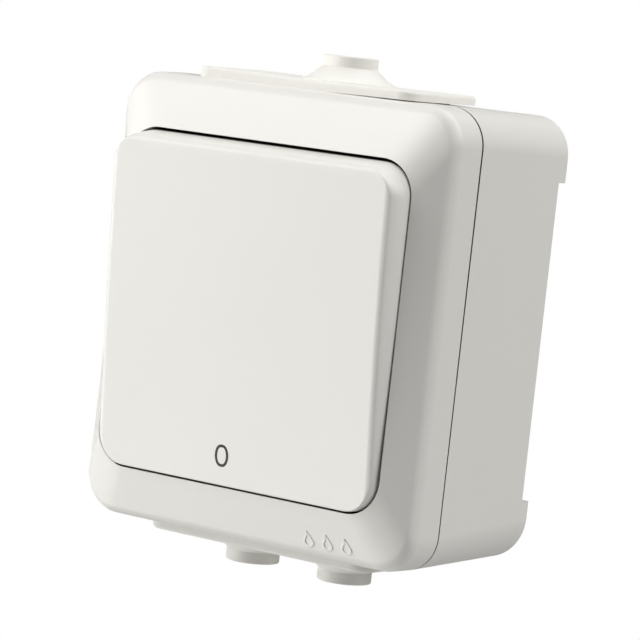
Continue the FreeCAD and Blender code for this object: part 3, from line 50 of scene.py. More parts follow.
# Camera: a long lens on a stand, in front to the right, a little above and slightly rolled. Its distance is
# measured from the part's origin, and the two small shifts centre the part in the picture.
CAMERA_YAW = math.radians(35.151)
CAMERA_PITCH = math.radians(5.04)
CAMERA_ROLL = math.radians(6.267)
CAMERA_DISTANCE = 631.724 * MM
CAMERA_ASIDE = -10.92 * MM
CAMERA_ABOVE = -0.992 * MM
camera_data = bpy.data.cameras.new("studio_camera")
camera_data.sensor_width = 36.0
camera_data.lens = 194.94
camera_data.clip_end = 50.0
camera = bpy.data.objects.new("studio_camera", camera_data)
bpy.context.collection.objects.link(camera)
camera_turn = Matrix.Rotation(CAMERA_YAW, 3, "Z")
camera_turn = camera_turn @ Matrix.Rotation(math.pi / 2 - CAMERA_PITCH, 3, "X")
camera_turn = camera_turn @ Matrix.Rotation(CAMERA_ROLL, 3, "Z")
camera.rotation_euler = camera_turn.to_euler()
camera.location = camera_turn @ Vector((CAMERA_ASIDE, CAMERA_ABOVE, CAMERA_DISTANCE))
bpy.context.scene.camera = camera
bpy.context.scene.view_settings.view_transform = "Standard"


# Studio: a plain pale floor well below the part, which hangs on a wall, and a white surround.
# Both are white to the camera, and light the part only dimly.
def glow_to_camera(tree, surface, white):
    """Show plain white to the camera and through clear things, and the surface to every other ray."""
    path = tree.nodes.new("ShaderNodeLightPath")
    seen = tree.nodes.new("ShaderNodeMath")
    seen.operation = "MAXIMUM"
    tree.links.new(path.outputs["Is Camera Ray"], seen.inputs[0])
    tree.links.new(path.outputs["Is Transmission Ray"], seen.inputs[1])
    mix = tree.nodes.new("ShaderNodeMixShader")
    tree.links.new(seen.outputs[0], mix.inputs[0])
    tree.links.new(surface, mix.inputs[1])
    tree.links.new(white, mix.inputs[2])
    return mix.outputs[0]


world = bpy.data.worlds.new("studio_surround")
world.use_nodes = True
bpy.context.scene.world = world
world_tree = world.node_tree
dim_light = world_tree.nodes["Background"]
dim_light.inputs["Color"].default_value = (1.0, 0.985, 0.96, 1.0)
dim_light.inputs["Strength"].default_value = 0.01
white_light = world_tree.nodes.new("ShaderNodeBackground")
white_light.inputs["Color"].default_value = (1.0, 1.0, 1.0, 1.0)
white_light.inputs["Strength"].default_value = 1.0
shown = glow_to_camera(world_tree, dim_light.outputs[0], white_light.outputs[0])
world_tree.links.new(shown, world_tree.nodes["World Output"].inputs["Surface"])

FLOOR_SIZE, FLOOR_LEVEL = 12.0, -1.05
bpy.ops.object.select_all(action="DESELECT")
bpy.ops.mesh.primitive_plane_add(size=FLOOR_SIZE, location=(0.0, 0.0, FLOOR_LEVEL))
floor = bpy.context.object
floor.name = "studio_floor"
floor_material = bpy.data.materials.new("studio_floor_paper")
floor_material.use_nodes = True
floor_tree = floor_material.node_tree
paper = floor_tree.nodes["Principled BSDF"]
paper.inputs["Base Color"].default_value = (0.86, 0.86, 0.85, 1.0)
paper.inputs["Roughness"].default_value = 0.9
paper_glow = floor_tree.nodes.new("ShaderNodeEmission")
paper_glow.inputs["Strength"].default_value = 1.0
shown = glow_to_camera(floor_tree, paper.outputs[0], paper_glow.outputs[0])
floor_tree.links.new(shown, floor_tree.nodes["Material Output"].inputs["Surface"])
floor.data.materials.append(floor_material)


# Lamps: soft boxes round the part, aimed at its middle. Azimuth is measured from the front towards the
# right, and elevation from level upwards. Sizes and distances are in metres and powers in watts.
LAMP_AIM = Vector((0.0, -0.02, 0.0))


def add_soft_box(name, azimuth, elevation, distance, width, height, power):
    """An area lamp that looks at the part from a direction."""
    lamp = bpy.data.lights.new(name, "AREA")
    lamp.shape = "RECTANGLE"
    lamp.size = width
    lamp.size_y = height
    lamp.energy = power
    holder = bpy.data.objects.new(name, lamp)
    bpy.context.collection.objects.link(holder)
    turn, lift = math.radians(azimuth), math.radians(elevation)
    away = Vector((math.sin(turn) * math.cos(lift), -math.cos(turn) * math.cos(lift), math.sin(lift)))
    holder.location = away * distance + LAMP_AIM
    holder.rotation_euler = away.to_track_quat("Z", "Y").to_euler()


add_soft_box("left_soft_box", azimuth=-58, elevation=8, distance=1.6, width=1.0, height=1.2, power=14.2)
add_soft_box("high_soft_box", azimuth=-30, elevation=42, distance=1.6, width=1.0, height=1.0, power=18.2)
add_soft_box("low_soft_box", azimuth=-48, elevation=-32, distance=1.5, width=1.0, height=0.8, power=7.6)
add_soft_box("right_soft_box", azimuth=80, elevation=30, distance=1.4, width=0.8, height=0.8, power=3.7)
add_soft_box("rear_soft_box", azimuth=122, elevation=35, distance=1.5, width=0.9, height=1.0, power=10.9)
add_soft_box("top_soft_box", azimuth=160, elevation=62, distance=1.5, width=1.0, height=1.0, power=8.7)
add_soft_box("low_right_box", azimuth=100, elevation=-20, distance=0.7, width=0.4, height=0.4, power=0.6)


# Front cover: one moulding in warm white plastic, with a tapered band round the seam, a slope up to the
# opening and a pan behind the rocker with two ears for its pins. Two screws in the pan hold it to the base,
# and its edges are rounded as a mould leaves them.
def plain_material(name, color, roughness):
    """A new material with its shader's colour and roughness set."""
    material = bpy.data.materials.new(name)
    material.use_nodes = True
    shader = material.node_tree.nodes["Principled BSDF"]
    shader.inputs["Base Color"].default_value = (*color, 1.0)
    shader.inputs["Roughness"].default_value = roughness
    return material, material.node_tree, shader


def add_noise(tree, scale, detail):
    """Noise on the piece's own coordinates, in metres."""
    place = tree.nodes.new("ShaderNodeTexCoord")
    noise = tree.nodes.new("ShaderNodeTexNoise")
    noise.inputs["Scale"].default_value = scale
    noise.inputs["Detail"].default_value = detail
    tree.links.new(place.outputs["Object"], noise.inputs["Vector"])
    return noise.outputs["Fac"]


def vary(tree, value, low, high):
    """Spread the middle of a noise over a narrow range."""
    spread = tree.nodes.new("ShaderNodeMapRange")
    spread.inputs["From Min"].default_value = 0.3
    spread.inputs["From Max"].default_value = 0.7
    spread.inputs["To Min"].default_value = low
    spread.inputs["To Max"].default_value = high
    tree.links.new(value, spread.inputs["Value"])
    return spread.outputs["Result"]


def add_two_tones(tree, shader, factor, first, second):
    """Blend two colours by a factor and use them as the base colour."""
    blend = tree.nodes.new("ShaderNodeMix")
    blend.data_type = "RGBA"
    blend.inputs["A"].default_value = (*first, 1.0)
    blend.inputs["B"].default_value = (*second, 1.0)
    tree.links.new(factor, blend.inputs["Factor"])
    tree.links.new(blend.outputs["Result"], shader.inputs["Base Color"])


def add_bump(tree, shader, height, strength, distance):
    """Raise a surface finely by a height pattern."""
    bump = tree.nodes.new("ShaderNodeBump")
    bump.inputs["Strength"].default_value = strength
    bump.inputs["Distance"].default_value = distance
    tree.links.new(height, bump.inputs["Height"])
    tree.links.new(bump.outputs["Normal"], shader.inputs["Normal"])


# Shell plastic has a satin face, a very fine texture and faint flow marks
SHELL_WHITE, SHELL_SHADE = (0.800, 0.782, 0.742), (0.770, 0.752, 0.708)
shell_plastic, shell_tree, shell_shader = plain_material("shell_plastic", SHELL_WHITE, 0.38)
flow_marks = add_noise(shell_tree, 22.0, 2.0)
add_two_tones(shell_tree, shell_shader, vary(shell_tree, flow_marks, 0.0, 0.45), SHELL_WHITE, SHELL_SHADE)
shell_grain = add_noise(shell_tree, 2600.0, 2.0)
shell_tree.links.new(vary(shell_tree, shell_grain, 0.34, 0.42), shell_shader.inputs["Roughness"])
add_bump(shell_tree, shell_shader, shell_grain, 0.12, 0.00004)

# Painted shade on the same plastic: faces deep in the gap round the rocker and in the seam are drawn dark,
# in place of the shade that falls there
GAP_PAINTED_SHADE, GAP_PAINTED_SHADE_DEEP = (0.070, 0.048, 0.030), (0.045, 0.034, 0.024)
painted_gap_shade, shaded_tree, shaded_shader = plain_material("painted_gap_shade", GAP_PAINTED_SHADE, 0.6)
gap_clouds = vary(shaded_tree, add_noise(shaded_tree, 90.0, 2.0), 0.0, 1.0)
add_two_tones(shaded_tree, shaded_shader, gap_clouds, GAP_PAINTED_SHADE, GAP_PAINTED_SHADE_DEEP)
# Painted shade for the seam: a brown that draws the shadow line between the cover and the base
SEAM_PAINTED_SHADE, SEAM_PAINTED_SHADE_DEEP = (0.22, 0.180, 0.135), (0.15, 0.125, 0.10)
painted_seam_shade, seam_tree, seam_shader = plain_material("painted_seam_shade", SEAM_PAINTED_SHADE, 0.6)
seam_clouds = vary(seam_tree, add_noise(seam_tree, 60.0, 2.0), 0.0, 1.0)
add_two_tones(seam_tree, seam_shader, seam_clouds, SEAM_PAINTED_SHADE, SEAM_PAINTED_SHADE_DEEP)


def choose_only(piece):
    """Select one piece alone and make it the active one."""
    bpy.ops.object.select_all(action="DESELECT")
    piece.select_set(True)
    bpy.context.view_layer.objects.active = piece


def enter_edit(piece):
    """Make a piece the only one selected and edit it."""
    choose_only(piece)
    bpy.ops.object.mode_set(mode="EDIT")


def select_in_edit(piece, mode, chosen):
    """Select the points, edges or faces that a test picks. The piece is in edit mode."""
    bpy.ops.mesh.select_mode(type=mode)
    bpy.ops.mesh.select_all(action="DESELECT")
    mesh = bmesh.from_edit_mesh(piece.data)
    parts = {"VERT": mesh.verts, "EDGE": mesh.edges, "FACE": mesh.faces}[mode]
    for part in parts:
        if chosen(part):
            part.select_set(True)
    mesh.select_flush_mode()
    bmesh.update_edit_mesh(piece.data)


def close_skin():
    """Turn the faces of the piece in edit mode outward and leave edit mode."""
    bpy.ops.mesh.select_all(action="SELECT")
    bpy.ops.mesh.normals_make_consistent(inside=False)
    bpy.ops.object.mode_set(mode="OBJECT")


def set_in_place(piece, across=0.0, depth=0.0, up=0.0, turn=(0.0, 0.0, 0.0)):
    """Turn a piece and move it, in millimetres, and apply both to its mesh."""
    choose_only(piece)
    piece.rotation_euler = turn
    piece.location = (across * MM, -depth * MM, up * MM)
    bpy.ops.object.transform_apply(location=True, rotation=True, scale=True)


def make_outline(half_width, half_height, radius, depth, rise=0.0, lower_radius=None):
    """A rounded rectangle of bare edges that faces the front at one depth. Sizes in millimetres.

    Its middle can be raised, and its lower corners can have a radius of their own.
    """
    bpy.ops.object.select_all(action="DESELECT")
    bpy.ops.mesh.primitive_plane_add(size=2.0, location=(0.0, -depth * MM, rise * MM),
                                     rotation=(math.pi / 2, 0.0, 0.0))
    outline = bpy.context.object
    outline.scale = (half_width * MM, half_height * MM, 1.0)
    bpy.ops.object.transform_apply(location=True, rotation=True, scale=True)
    bpy.ops.object.mode_set(mode="EDIT")
    for side, size in ((1, radius), (-1, lower_radius or radius)):
        select_in_edit(outline, "VERT",
                       lambda point: side * (point.co.z - rise * MM) > (half_height - 0.001) * MM)
        bpy.ops.mesh.bevel(affect="VERTICES", offset=size * MM, segments=CORNER_STEPS, profile=0.5)
    bpy.ops.mesh.select_all(action="SELECT")
    bpy.ops.mesh.delete(type="ONLY_FACE")
    bpy.ops.object.mode_set(mode="OBJECT")
    return outline


def loft_outlines(name, levels, closed_ring=False, filled=()):
    """A skin through outlines in order, closed on itself or filled at chosen outlines.

    The outlines are bridged while they stand well apart, and then each is moved to its depth.
    """
    outlines = [make_outline(*level[:3], 100.0 * order, *level[4:]) for order, level in enumerate(levels)]
    piece = outlines[0]
    piece.name = name
    for outline in outlines[1:]:
        choose_only(piece)
        outline.select_set(True)
        bpy.ops.object.join()
    rings = [range(order * RING_POINTS, (order + 1) * RING_POINTS) for order in range(len(levels))]
    pairs = list(zip(rings[:-1], rings[1:]))
    if closed_ring:
        pairs.append((rings[-1], rings[0]))
    enter_edit(piece)
    for near, far in pairs:
        select_in_edit(piece, "EDGE", lambda edge: all(point.index in near for point in edge.verts)
                       or all(point.index in far for point in edge.verts))
        bpy.ops.mesh.bridge_edge_loops()
    for index in filled:
        ring = rings[index]
        select_in_edit(piece, "EDGE", lambda edge: all(point.index in ring for point in edge.verts))
        bpy.ops.mesh.edge_face_add()
    bpy.ops.object.mode_set(mode="OBJECT")
    for ring, level in zip(rings, levels):
        for index in ring:
            piece.data.vertices[index].co.y = -level[3] * MM
    enter_edit(piece)
    close_skin()
    return piece


def at_depth(edge, depth):
    """True where both ends of an edge lie at one depth, in millimetres."""
    return all(abs(point.co.y + depth * MM) < 0.01 * MM for point in edge.verts)


def round_edges(piece, chosen, width, steps):
    """Round the edges that a test picks. The width is in millimetres."""
    enter_edit(piece)
    select_in_edit(piece, "EDGE", chosen)
    bpy.ops.mesh.bevel(affect="EDGES", offset=width * MM, segments=steps, profile=0.5, clamp_overlap=True)
    bpy.ops.object.mode_set(mode="OBJECT")


def divide_across(piece, heights, chosen):
    """Divide the faces that a test picks by level planes at some heights, in millimetres."""
    enter_edit(piece)
    for height in heights:
        select_in_edit(piece, "FACE", chosen)
        bpy.ops.mesh.bisect(plane_co=(0.0, 0.0, height * MM), plane_no=(0.0, 0.0, 1.0))
    bpy.ops.object.mode_set(mode="OBJECT")


def add_modifier(piece, kind, **settings):
    """Give a piece a modifier and apply it."""
    choose_only(piece)
    modifier = piece.modifiers.new(kind.lower(), kind)
    for setting, value in settings.items():
        setattr(modifier, setting, value)
    bpy.ops.object.modifier_apply(modifier=modifier.name)


def cut_with(piece, cutter):
    """Cut one shape out of a piece and remove the cutter."""
    add_modifier(piece, "BOOLEAN", operation="DIFFERENCE", object=cutter, solver="EXACT")
    bpy.data.objects.remove(cutter)


def unite_with(piece, other):
    """Melt another shape into a piece."""
    add_modifier(piece, "BOOLEAN", operation="UNION", object=other, solver="EXACT")
    bpy.data.objects.remove(other)


def make_block(low, high):
    """A block between two corners, in millimetres as X, depth and Z."""
    middle = [(near + far) / 2 * MM for near, far in zip(low, high)]
    bpy.ops.object.select_all(action="DESELECT")
    bpy.ops.mesh.primitive_cube_add(size=1.0, location=(middle[0], -middle[1], middle[2]))
    block = bpy.context.object
    block.scale = [abs(far - near) * MM for near, far in zip(low, high)]
    bpy.ops.object.transform_apply(location=True, rotation=True, scale=True)
    return block


def make_rod(across, up, back, front, radius):
    """A round rod that points at the front, in millimetres."""
    bpy.ops.object.select_all(action="DESELECT")
    bpy.ops.mesh.primitive_cylinder_add(
        vertices=40, radius=radius * MM, depth=(front - back) * MM,
        location=(across * MM, -(back + front) / 2 * MM, up * MM), rotation=(math.pi / 2, 0.0, 0.0))
    bpy.ops.object.transform_apply(location=True, rotation=True, scale=True)
    return bpy.context.object


def make_cross_rod(across, depth, half_length, radius):
    """A round rod that lies from left to right, in millimetres."""
    rod = make_rod(0.0, 0.0, -half_length, half_length, radius)
    set_in_place(rod, across, depth, turn=(0.0, 0.0, math.pi / 2))
    return rod


def cut_entry_slots(piece):
    """Cut the rounded slots for the cable entries through a piece's top and bottom walls."""
    half_depth = (ENTRY_FRONT - ENTRY_BACK) / 2
    for low, high in ((ENTRY_LOW, ENTRY_HIGH), (-ENTRY_HIGH, -ENTRY_LOW)):
        slot_box = loft_outlines("slot_box", ((ENTRY_HALF, half_depth, ENTRY_RADIUS, low),
                                              (ENTRY_HALF, half_depth, ENTRY_RADIUS, high)), filled=(0, 1))
        set_in_place(slot_box, depth=(ENTRY_BACK + ENTRY_FRONT) / 2, turn=(-math.pi / 2, 0.0, 0.0))
        cut_with(piece, slot_box)


def give_materials(piece, *materials):
    """Put materials on a piece in order."""
    for material in materials:
        piece.data.materials.append(material)


def shade_faces(piece, place, inside):
    """Give one of a piece's materials to the faces whose centre and normal a test picks, in millimetres."""
    for polygon in piece.data.polygons:
        across, back, up = polygon.center / MM
        if inside(across, -back, up, polygon.normal):
            polygon.material_index = place


def smooth_piece(piece, angle=32.0):
    """Smooth shading with crisp edges, weighted so that flat faces stay flat."""
    choose_only(piece)
    bpy.ops.object.shade_smooth_by_angle(angle=math.radians(angle))
    add_modifier(piece, "WEIGHTED_NORMAL", keep_sharp=True, weight=80)


CORNER_STEPS = 14
RING_POINTS = 4 * (CORNER_STEPS + 1)
COVER_BACK, SHOULDER, RIM = 27.9, 35.3, 39.8
PAN_FLOOR, PAN_BACK = 31.1, 29.5
TONGUE_BACK = 26.85
SHOULDER_ROUND, RIM_ROUND, BAND_ROUND = 1.9, 0.15, 0.12
# Half width, half height, corner radius and depth of each outline, and how far its middle is raised.
# They run from the band's back edge over the front, down the opening, round the pan and the wall's inside,
# and along the tongue that goes into the base.
cover_levels = (
    (36.0, 40.0, 6.8, COVER_BACK),
    (35.85, 39.85, 6.7, SHOULDER),
    (30.65, 30.34, 6.4, RIM, -0.06),
    (30.65, 30.34, 6.4, PAN_FLOOR, -0.06),
    (7.5, 3.2, 0.4, PAN_FLOOR),
    (7.5, 3.2, 0.4, PAN_BACK),
    (32.1, 31.6, 7.8, PAN_BACK),
    (32.1, 31.6, 7.8, 36.8),
    (33.65, 37.65, 5.45, 34.2),
    (33.8, 37.8, 5.6, COVER_BACK),
    (33.95, 37.95, 5.75, COVER_BACK),
    (33.95, 37.95, 5.75, TONGUE_BACK),
    (34.85, 38.85, 6.65, TONGUE_BACK),
    (34.85, 38.85, 6.65, COVER_BACK),
)
cover_shell = loft_outlines("cover_shell", cover_levels, closed_ring=True)
round_edges(cover_shell, lambda edge: at_depth(edge, SHOULDER), SHOULDER_ROUND, 8)
round_edges(cover_shell, lambda edge: at_depth(edge, RIM), RIM_ROUND, 3)

# The band's back edge lies outside these limits, and the inner edges at the same depth lie within them
BAND_EDGE_ACROSS, BAND_EDGE_UP, BAND_EDGE_CORNER = 35.2, 39.2, 47.5


def at_band_edge(point):
    """True for a point on the outer outline of the band's back edge."""
    return (abs(point.co.x) > BAND_EDGE_ACROSS * MM or abs(point.co.z) > BAND_EDGE_UP * MM
            or point.co.xz.length > BAND_EDGE_CORNER * MM)


round_edges(cover_shell, lambda edge: at_depth(edge, COVER_BACK)
            and all(at_band_edge(point) for point in edge.verts), BAND_ROUND, 2)

# Shrinkage draws the left shoulder in a little between its corners
SINK, SINK_HALF_HEIGHT, SINK_FROM_ACROSS, SINK_FROM_DEPTH = 0.5, 33.4, 33.9, 33.0
divide_across(cover_shell, (-31.0, -28.5, -25.0, -18.0, 0.01, 18.0, 25.0, 28.5, 31.0),
              lambda face: face.calc_center_median().x < -SINK_FROM_ACROSS * MM
              and face.calc_center_median().y < -(COVER_BACK + 0.6) * MM)
for point in cover_shell.data.vertices:
    if point.co.x < -SINK_FROM_ACROSS * MM and point.co.y < -SINK_FROM_DEPTH * MM:
        share = max(0.0, 1.0 - (point.co.z / (SINK_HALF_HEIGHT * MM)) ** 8)
        point.co.x += share * SINK * MM

# The slots for the cable entries cross the seam, so the cover and the base are cut alike
ENTRY_HALF, ENTRY_BACK, ENTRY_FRONT, ENTRY_RADIUS = 20.0, 12.4, 30.2, 3.5
ENTRY_LOW, ENTRY_HIGH = 35.0, 41.0
cut_entry_slots(cover_shell)

# Two ears carry the rocker's pins
PIVOT_DEPTH, PIN_BORE = 35.3, 1.55
EAR_ACROSS, EAR_BACK, EAR_FRONT, EAR_HALF_WIDTH, EAR_HALF_HEIGHT = 21.5, 30.0, 37.8, 1.0, 3.5
for side in (-1, 1):
    middle = side * EAR_ACROSS
    ear = make_block((middle - EAR_HALF_WIDTH, EAR_BACK, -EAR_HALF_HEIGHT),
                     (middle + EAR_HALF_WIDTH, EAR_FRONT, EAR_HALF_HEIGHT))
    round_edges(ear, lambda edge: at_depth(edge, EAR_FRONT), 0.4, 2)
    cut_with(ear, make_cross_rod(middle, PIVOT_DEPTH, 2.0, PIN_BORE))
    unite_with(cover_shell, ear)

# Two bosses under the pan take the screws
SCREW_PLACES = ((-20.0, 22.0), (20.0, -22.0))
BOSS_RADIUS, SCREW_HOLE, BOSS_MEET = 3.5, 1.7, 27.5
for across, up in SCREW_PLACES:
    unite_with(cover_shell, make_rod(across, up, BOSS_MEET, PAN_FLOOR - 0.2, BOSS_RADIUS))
    cut_with(cover_shell, make_rod(across, up, BOSS_MEET - 1.5, PAN_FLOOR + 1.9, SCREW_HOLE))
give_materials(cover_shell, shell_plastic, painted_gap_shade, painted_seam_shade)
# Painted shade: the pan's walls below the rim, except the left one, take the dark gap material, and the
# faces at the seam take the brown seam material
GAP_ACROSS, GAP_UP = 30.8, 30.5
shade_faces(cover_shell, 1, lambda across, depth, up, normal: abs(across) < GAP_ACROSS and abs(up) < GAP_UP
            and depth < RIM - 0.3 and normal.x < 0.3)
shade_faces(cover_shell, 2, lambda across, depth, up, normal: depth < COVER_BACK + 0.02)
smooth_piece(cover_shell)
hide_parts("front_cover")
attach(cover_shell, "case")


# Base box: one deep moulding in the same white plastic, on four corner feet. The slots for the cable
# entries cross its rim, and the screws into the wall pass through elongated slots in its feet.
BOX_HALF_WIDTH, BOX_HALF_HEIGHT = 36.0, 40.0
SEAM_DEPTH, SEAM_LEAN = 27.58, 0.08
RIM_LEDGE, FLOOR_FRONT = 25.6, 4.3
# Half width, half height, corner radius and depth of each outline, and at the back also how far it is
# raised and the radius of its lower corners. They run up the outside, over the rim and down the inside.
base_levels = (
    (BOX_HALF_WIDTH, 39.55, 7.0, 0.0, 0.0, 8.2),
    (BOX_HALF_WIDTH, BOX_HALF_HEIGHT, 6.8, SEAM_DEPTH),
    (34.9, 38.9, 6.7, SEAM_DEPTH),
    (34.9, 38.9, 6.7, RIM_LEDGE),
    (33.8, 37.8, 5.6, RIM_LEDGE),
    (33.8, 37.8, 5.6, FLOOR_FRONT),
)
base_shell = loft_outlines("base_shell", base_levels, filled=(0, 5))
for point in base_shell.data.vertices:
    if abs(point.co.y + SEAM_DEPTH * MM) < 0.01 * MM:
        point.co.y += SEAM_LEAN * MM * point.co.z / (BOX_HALF_HEIGHT * MM)

# The back steps in between the feet, over its whole width and its whole height
FOOT_STEP, FEET_FROM_ACROSS, FEET_FROM_UP, CLEAR = 2.1, 24.3, 28.3, 1.0
for half_width, half_height in ((BOX_HALF_WIDTH + CLEAR, FEET_FROM_UP),
                                (FEET_FROM_ACROSS, BOX_HALF_HEIGHT + CLEAR)):
    cut_with(base_shell, make_block((-half_width, -CLEAR, -half_height),
                                    (half_width, FOOT_STEP, half_height)))
cut_entry_slots(base_shell)
add_modifier(base_shell, "BEVEL", width=0.25 * MM, segments=3, limit_method="ANGLE",
             angle_limit=math.radians(40), miter_outer="MITER_ARC", use_clamp_overlap=True)

# Elongated slots in the feet take the screws into the wall
WALL_SLOT_ACROSS, WALL_SLOT_UP, WALL_SLOT_RADIUS, WALL_SLOT_STRETCH = 28.5, 32.5, 2.3, 1.7
WALL_SLOT_END = 5.0
for side in (-1, 1):
    for level in (-1, 1):
        across, up = side * WALL_SLOT_ACROSS, level * WALL_SLOT_UP
        cutter = make_block((across - WALL_SLOT_STRETCH, -CLEAR, up - WALL_SLOT_RADIUS),
                            (across + WALL_SLOT_STRETCH, WALL_SLOT_END, up + WALL_SLOT_RADIUS))
        for end in (-1, 1):
            unite_with(cutter, make_rod(across + end * WALL_SLOT_STRETCH, up, -CLEAR, WALL_SLOT_END,
                                        WALL_SLOT_RADIUS))
        cut_with(base_shell, cutter)

# Two posts for the mechanism and two bosses for the cover's screws, each with a pilot hole: place across
# and up, top, and the hole's radius
POST_ACROSS, POST_TOP, POST_PILOT, BOSS_PILOT = 20.5, 12.0, 1.45, 1.55
posts = [(-POST_ACROSS, 0.0, POST_TOP, POST_PILOT), (POST_ACROSS, 0.0, POST_TOP, POST_PILOT)]
posts += [(across, up, BOSS_MEET, BOSS_PILOT) for across, up in SCREW_PLACES]
for across, up, top, pilot in posts:
    unite_with(base_shell, make_rod(across, up, FLOOR_FRONT - 0.8, top, BOSS_RADIUS))
    cut_with(base_shell, make_rod(across, up, FLOOR_FRONT + 1.2, 30.0, pilot))
give_materials(base_shell, shell_plastic, painted_seam_shade)
# Painted shade: the rim's front faces at the seam take the brown seam material, drawn as the seam's shadow
shade_faces(base_shell, 1, lambda across, depth, up, normal: depth > RIM_LEDGE - 0.2 and normal.y < -0.95
            and (abs(across) > 33.0 or abs(up) > 37.0))
smooth_piece(base_shell)
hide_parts("base_box")
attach(base_shell, "case")


# Rocker: a hollow button in the white shell plastic, with a slightly crowned face. Its sides taper towards
# the face, and its top and bottom edges are rounder. It snaps into the cover's ears on two pins and stands
# tilted with the top forward, and a blade behind it drives the mechanism.
ROCKER_TILT = math.radians(4.4)
FACE_RISE, FACE_CROWN, CROWN_FROM, CROWN_HALF_HEIGHT = 7.9, 0.45, 6.0, 29.0
FACE_HALF_WIDTH, SIDE_ROUND, SIDE_TURN, ROUND_STEPS = 28.55, 1.6, math.radians(40), 9
EDGE_ROUND_START, TAPER_START = 7.1, 5.7
TOP_EDGE, TOP_TAPER, TOP_ROUND = 29.62, 0.24, 1.05
BOTTOM_EDGE, BOTTOM_TAPER, BOTTOM_ROUND = 29.64, 0.03, 0.30
UPPER_CORNER, UPPER_CORNER_LOSS, LOWER_CORNER, LOWER_CORNER_LOSS = 4.5, 2.9, 5.5, 1.6
# Half width, half height, corner radius and height over the pivot of each outline, and at the last also how
# far it is raised and the radius of its lower corners. They run from the hollow's top down the inside, over
# the skirt's edge and up the outside, and the loop adds the rounding up to the face.
rocker_levels = [
    (28.15, 27.4, 3.85, 5.45),
    (28.15, 27.4, 3.85, 0.7),
    (30.45, 30.0, 5.9, 0.7),
    (30.45, 29.97, 5.85, 1.9),
    (30.45, 29.80, 5.8, 4.2),
    (30.30, 29.66, 5.6, 5.4),
    (29.90, 29.48, 4.9, 6.9, -0.1, 5.5),
]
for step in range(ROUND_STEPS + 1):
    turn = SIDE_TURN * (1.0 - step / ROUND_STEPS)
    inward = 1.0 - math.sin(turn) / math.sin(SIDE_TURN)
    level = FACE_RISE - SIDE_ROUND * (1.0 - math.cos(turn))
    past = max(0.0, level - EDGE_ROUND_START) / (FACE_RISE - EDGE_ROUND_START)
    edge_inward = 1.0 - math.sqrt(max(0.0, 1.0 - past ** 2))
    side_edge = FACE_HALF_WIDTH + SIDE_ROUND * math.sin(turn)
    top_edge = TOP_EDGE - TOP_TAPER * (min(level, EDGE_ROUND_START) - TAPER_START) - TOP_ROUND * edge_inward
    bottom_edge = BOTTOM_EDGE - BOTTOM_TAPER * (level - TAPER_START) - BOTTOM_ROUND * edge_inward
    upper_corner = UPPER_CORNER - UPPER_CORNER_LOSS * inward
    lower_corner = LOWER_CORNER - LOWER_CORNER_LOSS * inward
    rocker_levels.append((side_edge, (top_edge + bottom_edge) / 2, upper_corner, level,
                          (top_edge - bottom_edge) / 2, lower_corner))
rocker_button = loft_outlines("rocker_button", rocker_levels, filled=(0, len(rocker_levels) - 1))


def crown(height):
    """How far the face falls back from its middle at a height over the pivot, in millimetres."""
    return FACE_CROWN * (height / CROWN_HALF_HEIGHT) ** 2


# The planes stand a hair off the even heights, so that none meets a point
divide_across(rocker_button, [height + 0.013 for height in range(-28, 29, 2)],
              lambda face: face.calc_center_median().y < -(CROWN_FROM - 0.1) * MM)
for point in rocker_button.data.vertices:
    share = (-point.co.y / MM - CROWN_FROM) / (FACE_RISE - CROWN_FROM)
    if share > 0.0:
        point.co.y += share * crown(point.co.z / MM) * MM

# Ribs with the pivot pins, and the blade
RIB_NEAR, RIB_FAR, RIB_LOW, RIB_HALF_HEIGHT, UNDER_FACE = 23.1, 24.7, -2.1, 5.0, 6.0
PIN_ACROSS, PIN_HALF_LENGTH, PIN_RADIUS = 22.0, 1.5, 1.5
for side in (-1, 1):
    inner, outer = sorted((side * RIB_NEAR, side * RIB_FAR))
    unite_with(rocker_button, make_block((inner, RIB_LOW, -RIB_HALF_HEIGHT),
                                         (outer, UNDER_FACE, RIB_HALF_HEIGHT)))
    unite_with(rocker_button, make_cross_rod(side * PIN_ACROSS, 0.0, PIN_HALF_LENGTH, PIN_RADIUS))
BLADE_HALF_WIDTH, BLADE_TIP, BLADE_HALF_HEIGHT, BLADE_ROUND = 6.0, -8.9, 1.5, 1.0
blade = make_block((-BLADE_HALF_WIDTH, BLADE_TIP, -BLADE_HALF_HEIGHT),
                   (BLADE_HALF_WIDTH, UNDER_FACE, BLADE_HALF_HEIGHT))
round_edges(blade, lambda edge: at_depth(edge, BLADE_TIP)
            and abs(edge.verts[0].co.x - edge.verts[1].co.x) > MM, BLADE_ROUND, 4)
unite_with(rocker_button, blade)
give_materials(rocker_button, shell_plastic, painted_gap_shade)
# Painted shade: the skirt's low part, deep in the gap, takes the dark gap material in place of the shade
# there
SKIRT_PAINTED_SHADE_TO = 1.85
shade_faces(rocker_button, 1, lambda across, depth, up, normal: depth < SKIRT_PAINTED_SHADE_TO)
set_in_place(rocker_button, depth=PIVOT_DEPTH, turn=(ROCKER_TILT, 0.0, 0.0))
smooth_piece(rocker_button)
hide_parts("rocker")
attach(rocker_button, "rocker")


# Off mark: a "0" in dark ink, pad-printed low on the rocker's face. It is a thin film of ink that follows
# the crown of the face and moves with the rocker.
INK = (0.020, 0.018, 0.015)
MARK_ACROSS, MARK_UP, MARK_HALF_WIDTH, MARK_HALF_HEIGHT = -1.9, -24.2, 1.46, 1.98
STROKE, FILM, MARK_SQUARENESS = 0.50, 0.03, 0.82
mark_ink, ink_tree, ink_shader = plain_material("mark_ink", INK, 0.5)
ink_speckle = add_noise(ink_tree, 3000.0, 1.0)
ink_tree.links.new(vary(ink_tree, ink_speckle, 0.42, 0.6), ink_shader.inputs["Roughness"])


def extrude_up(height):
    """Extrude what is selected in edit mode by a height in millimetres."""
    bpy.ops.mesh.extrude_region_move(TRANSFORM_OT_translate={"value": (0.0, 0.0, height * MM)})


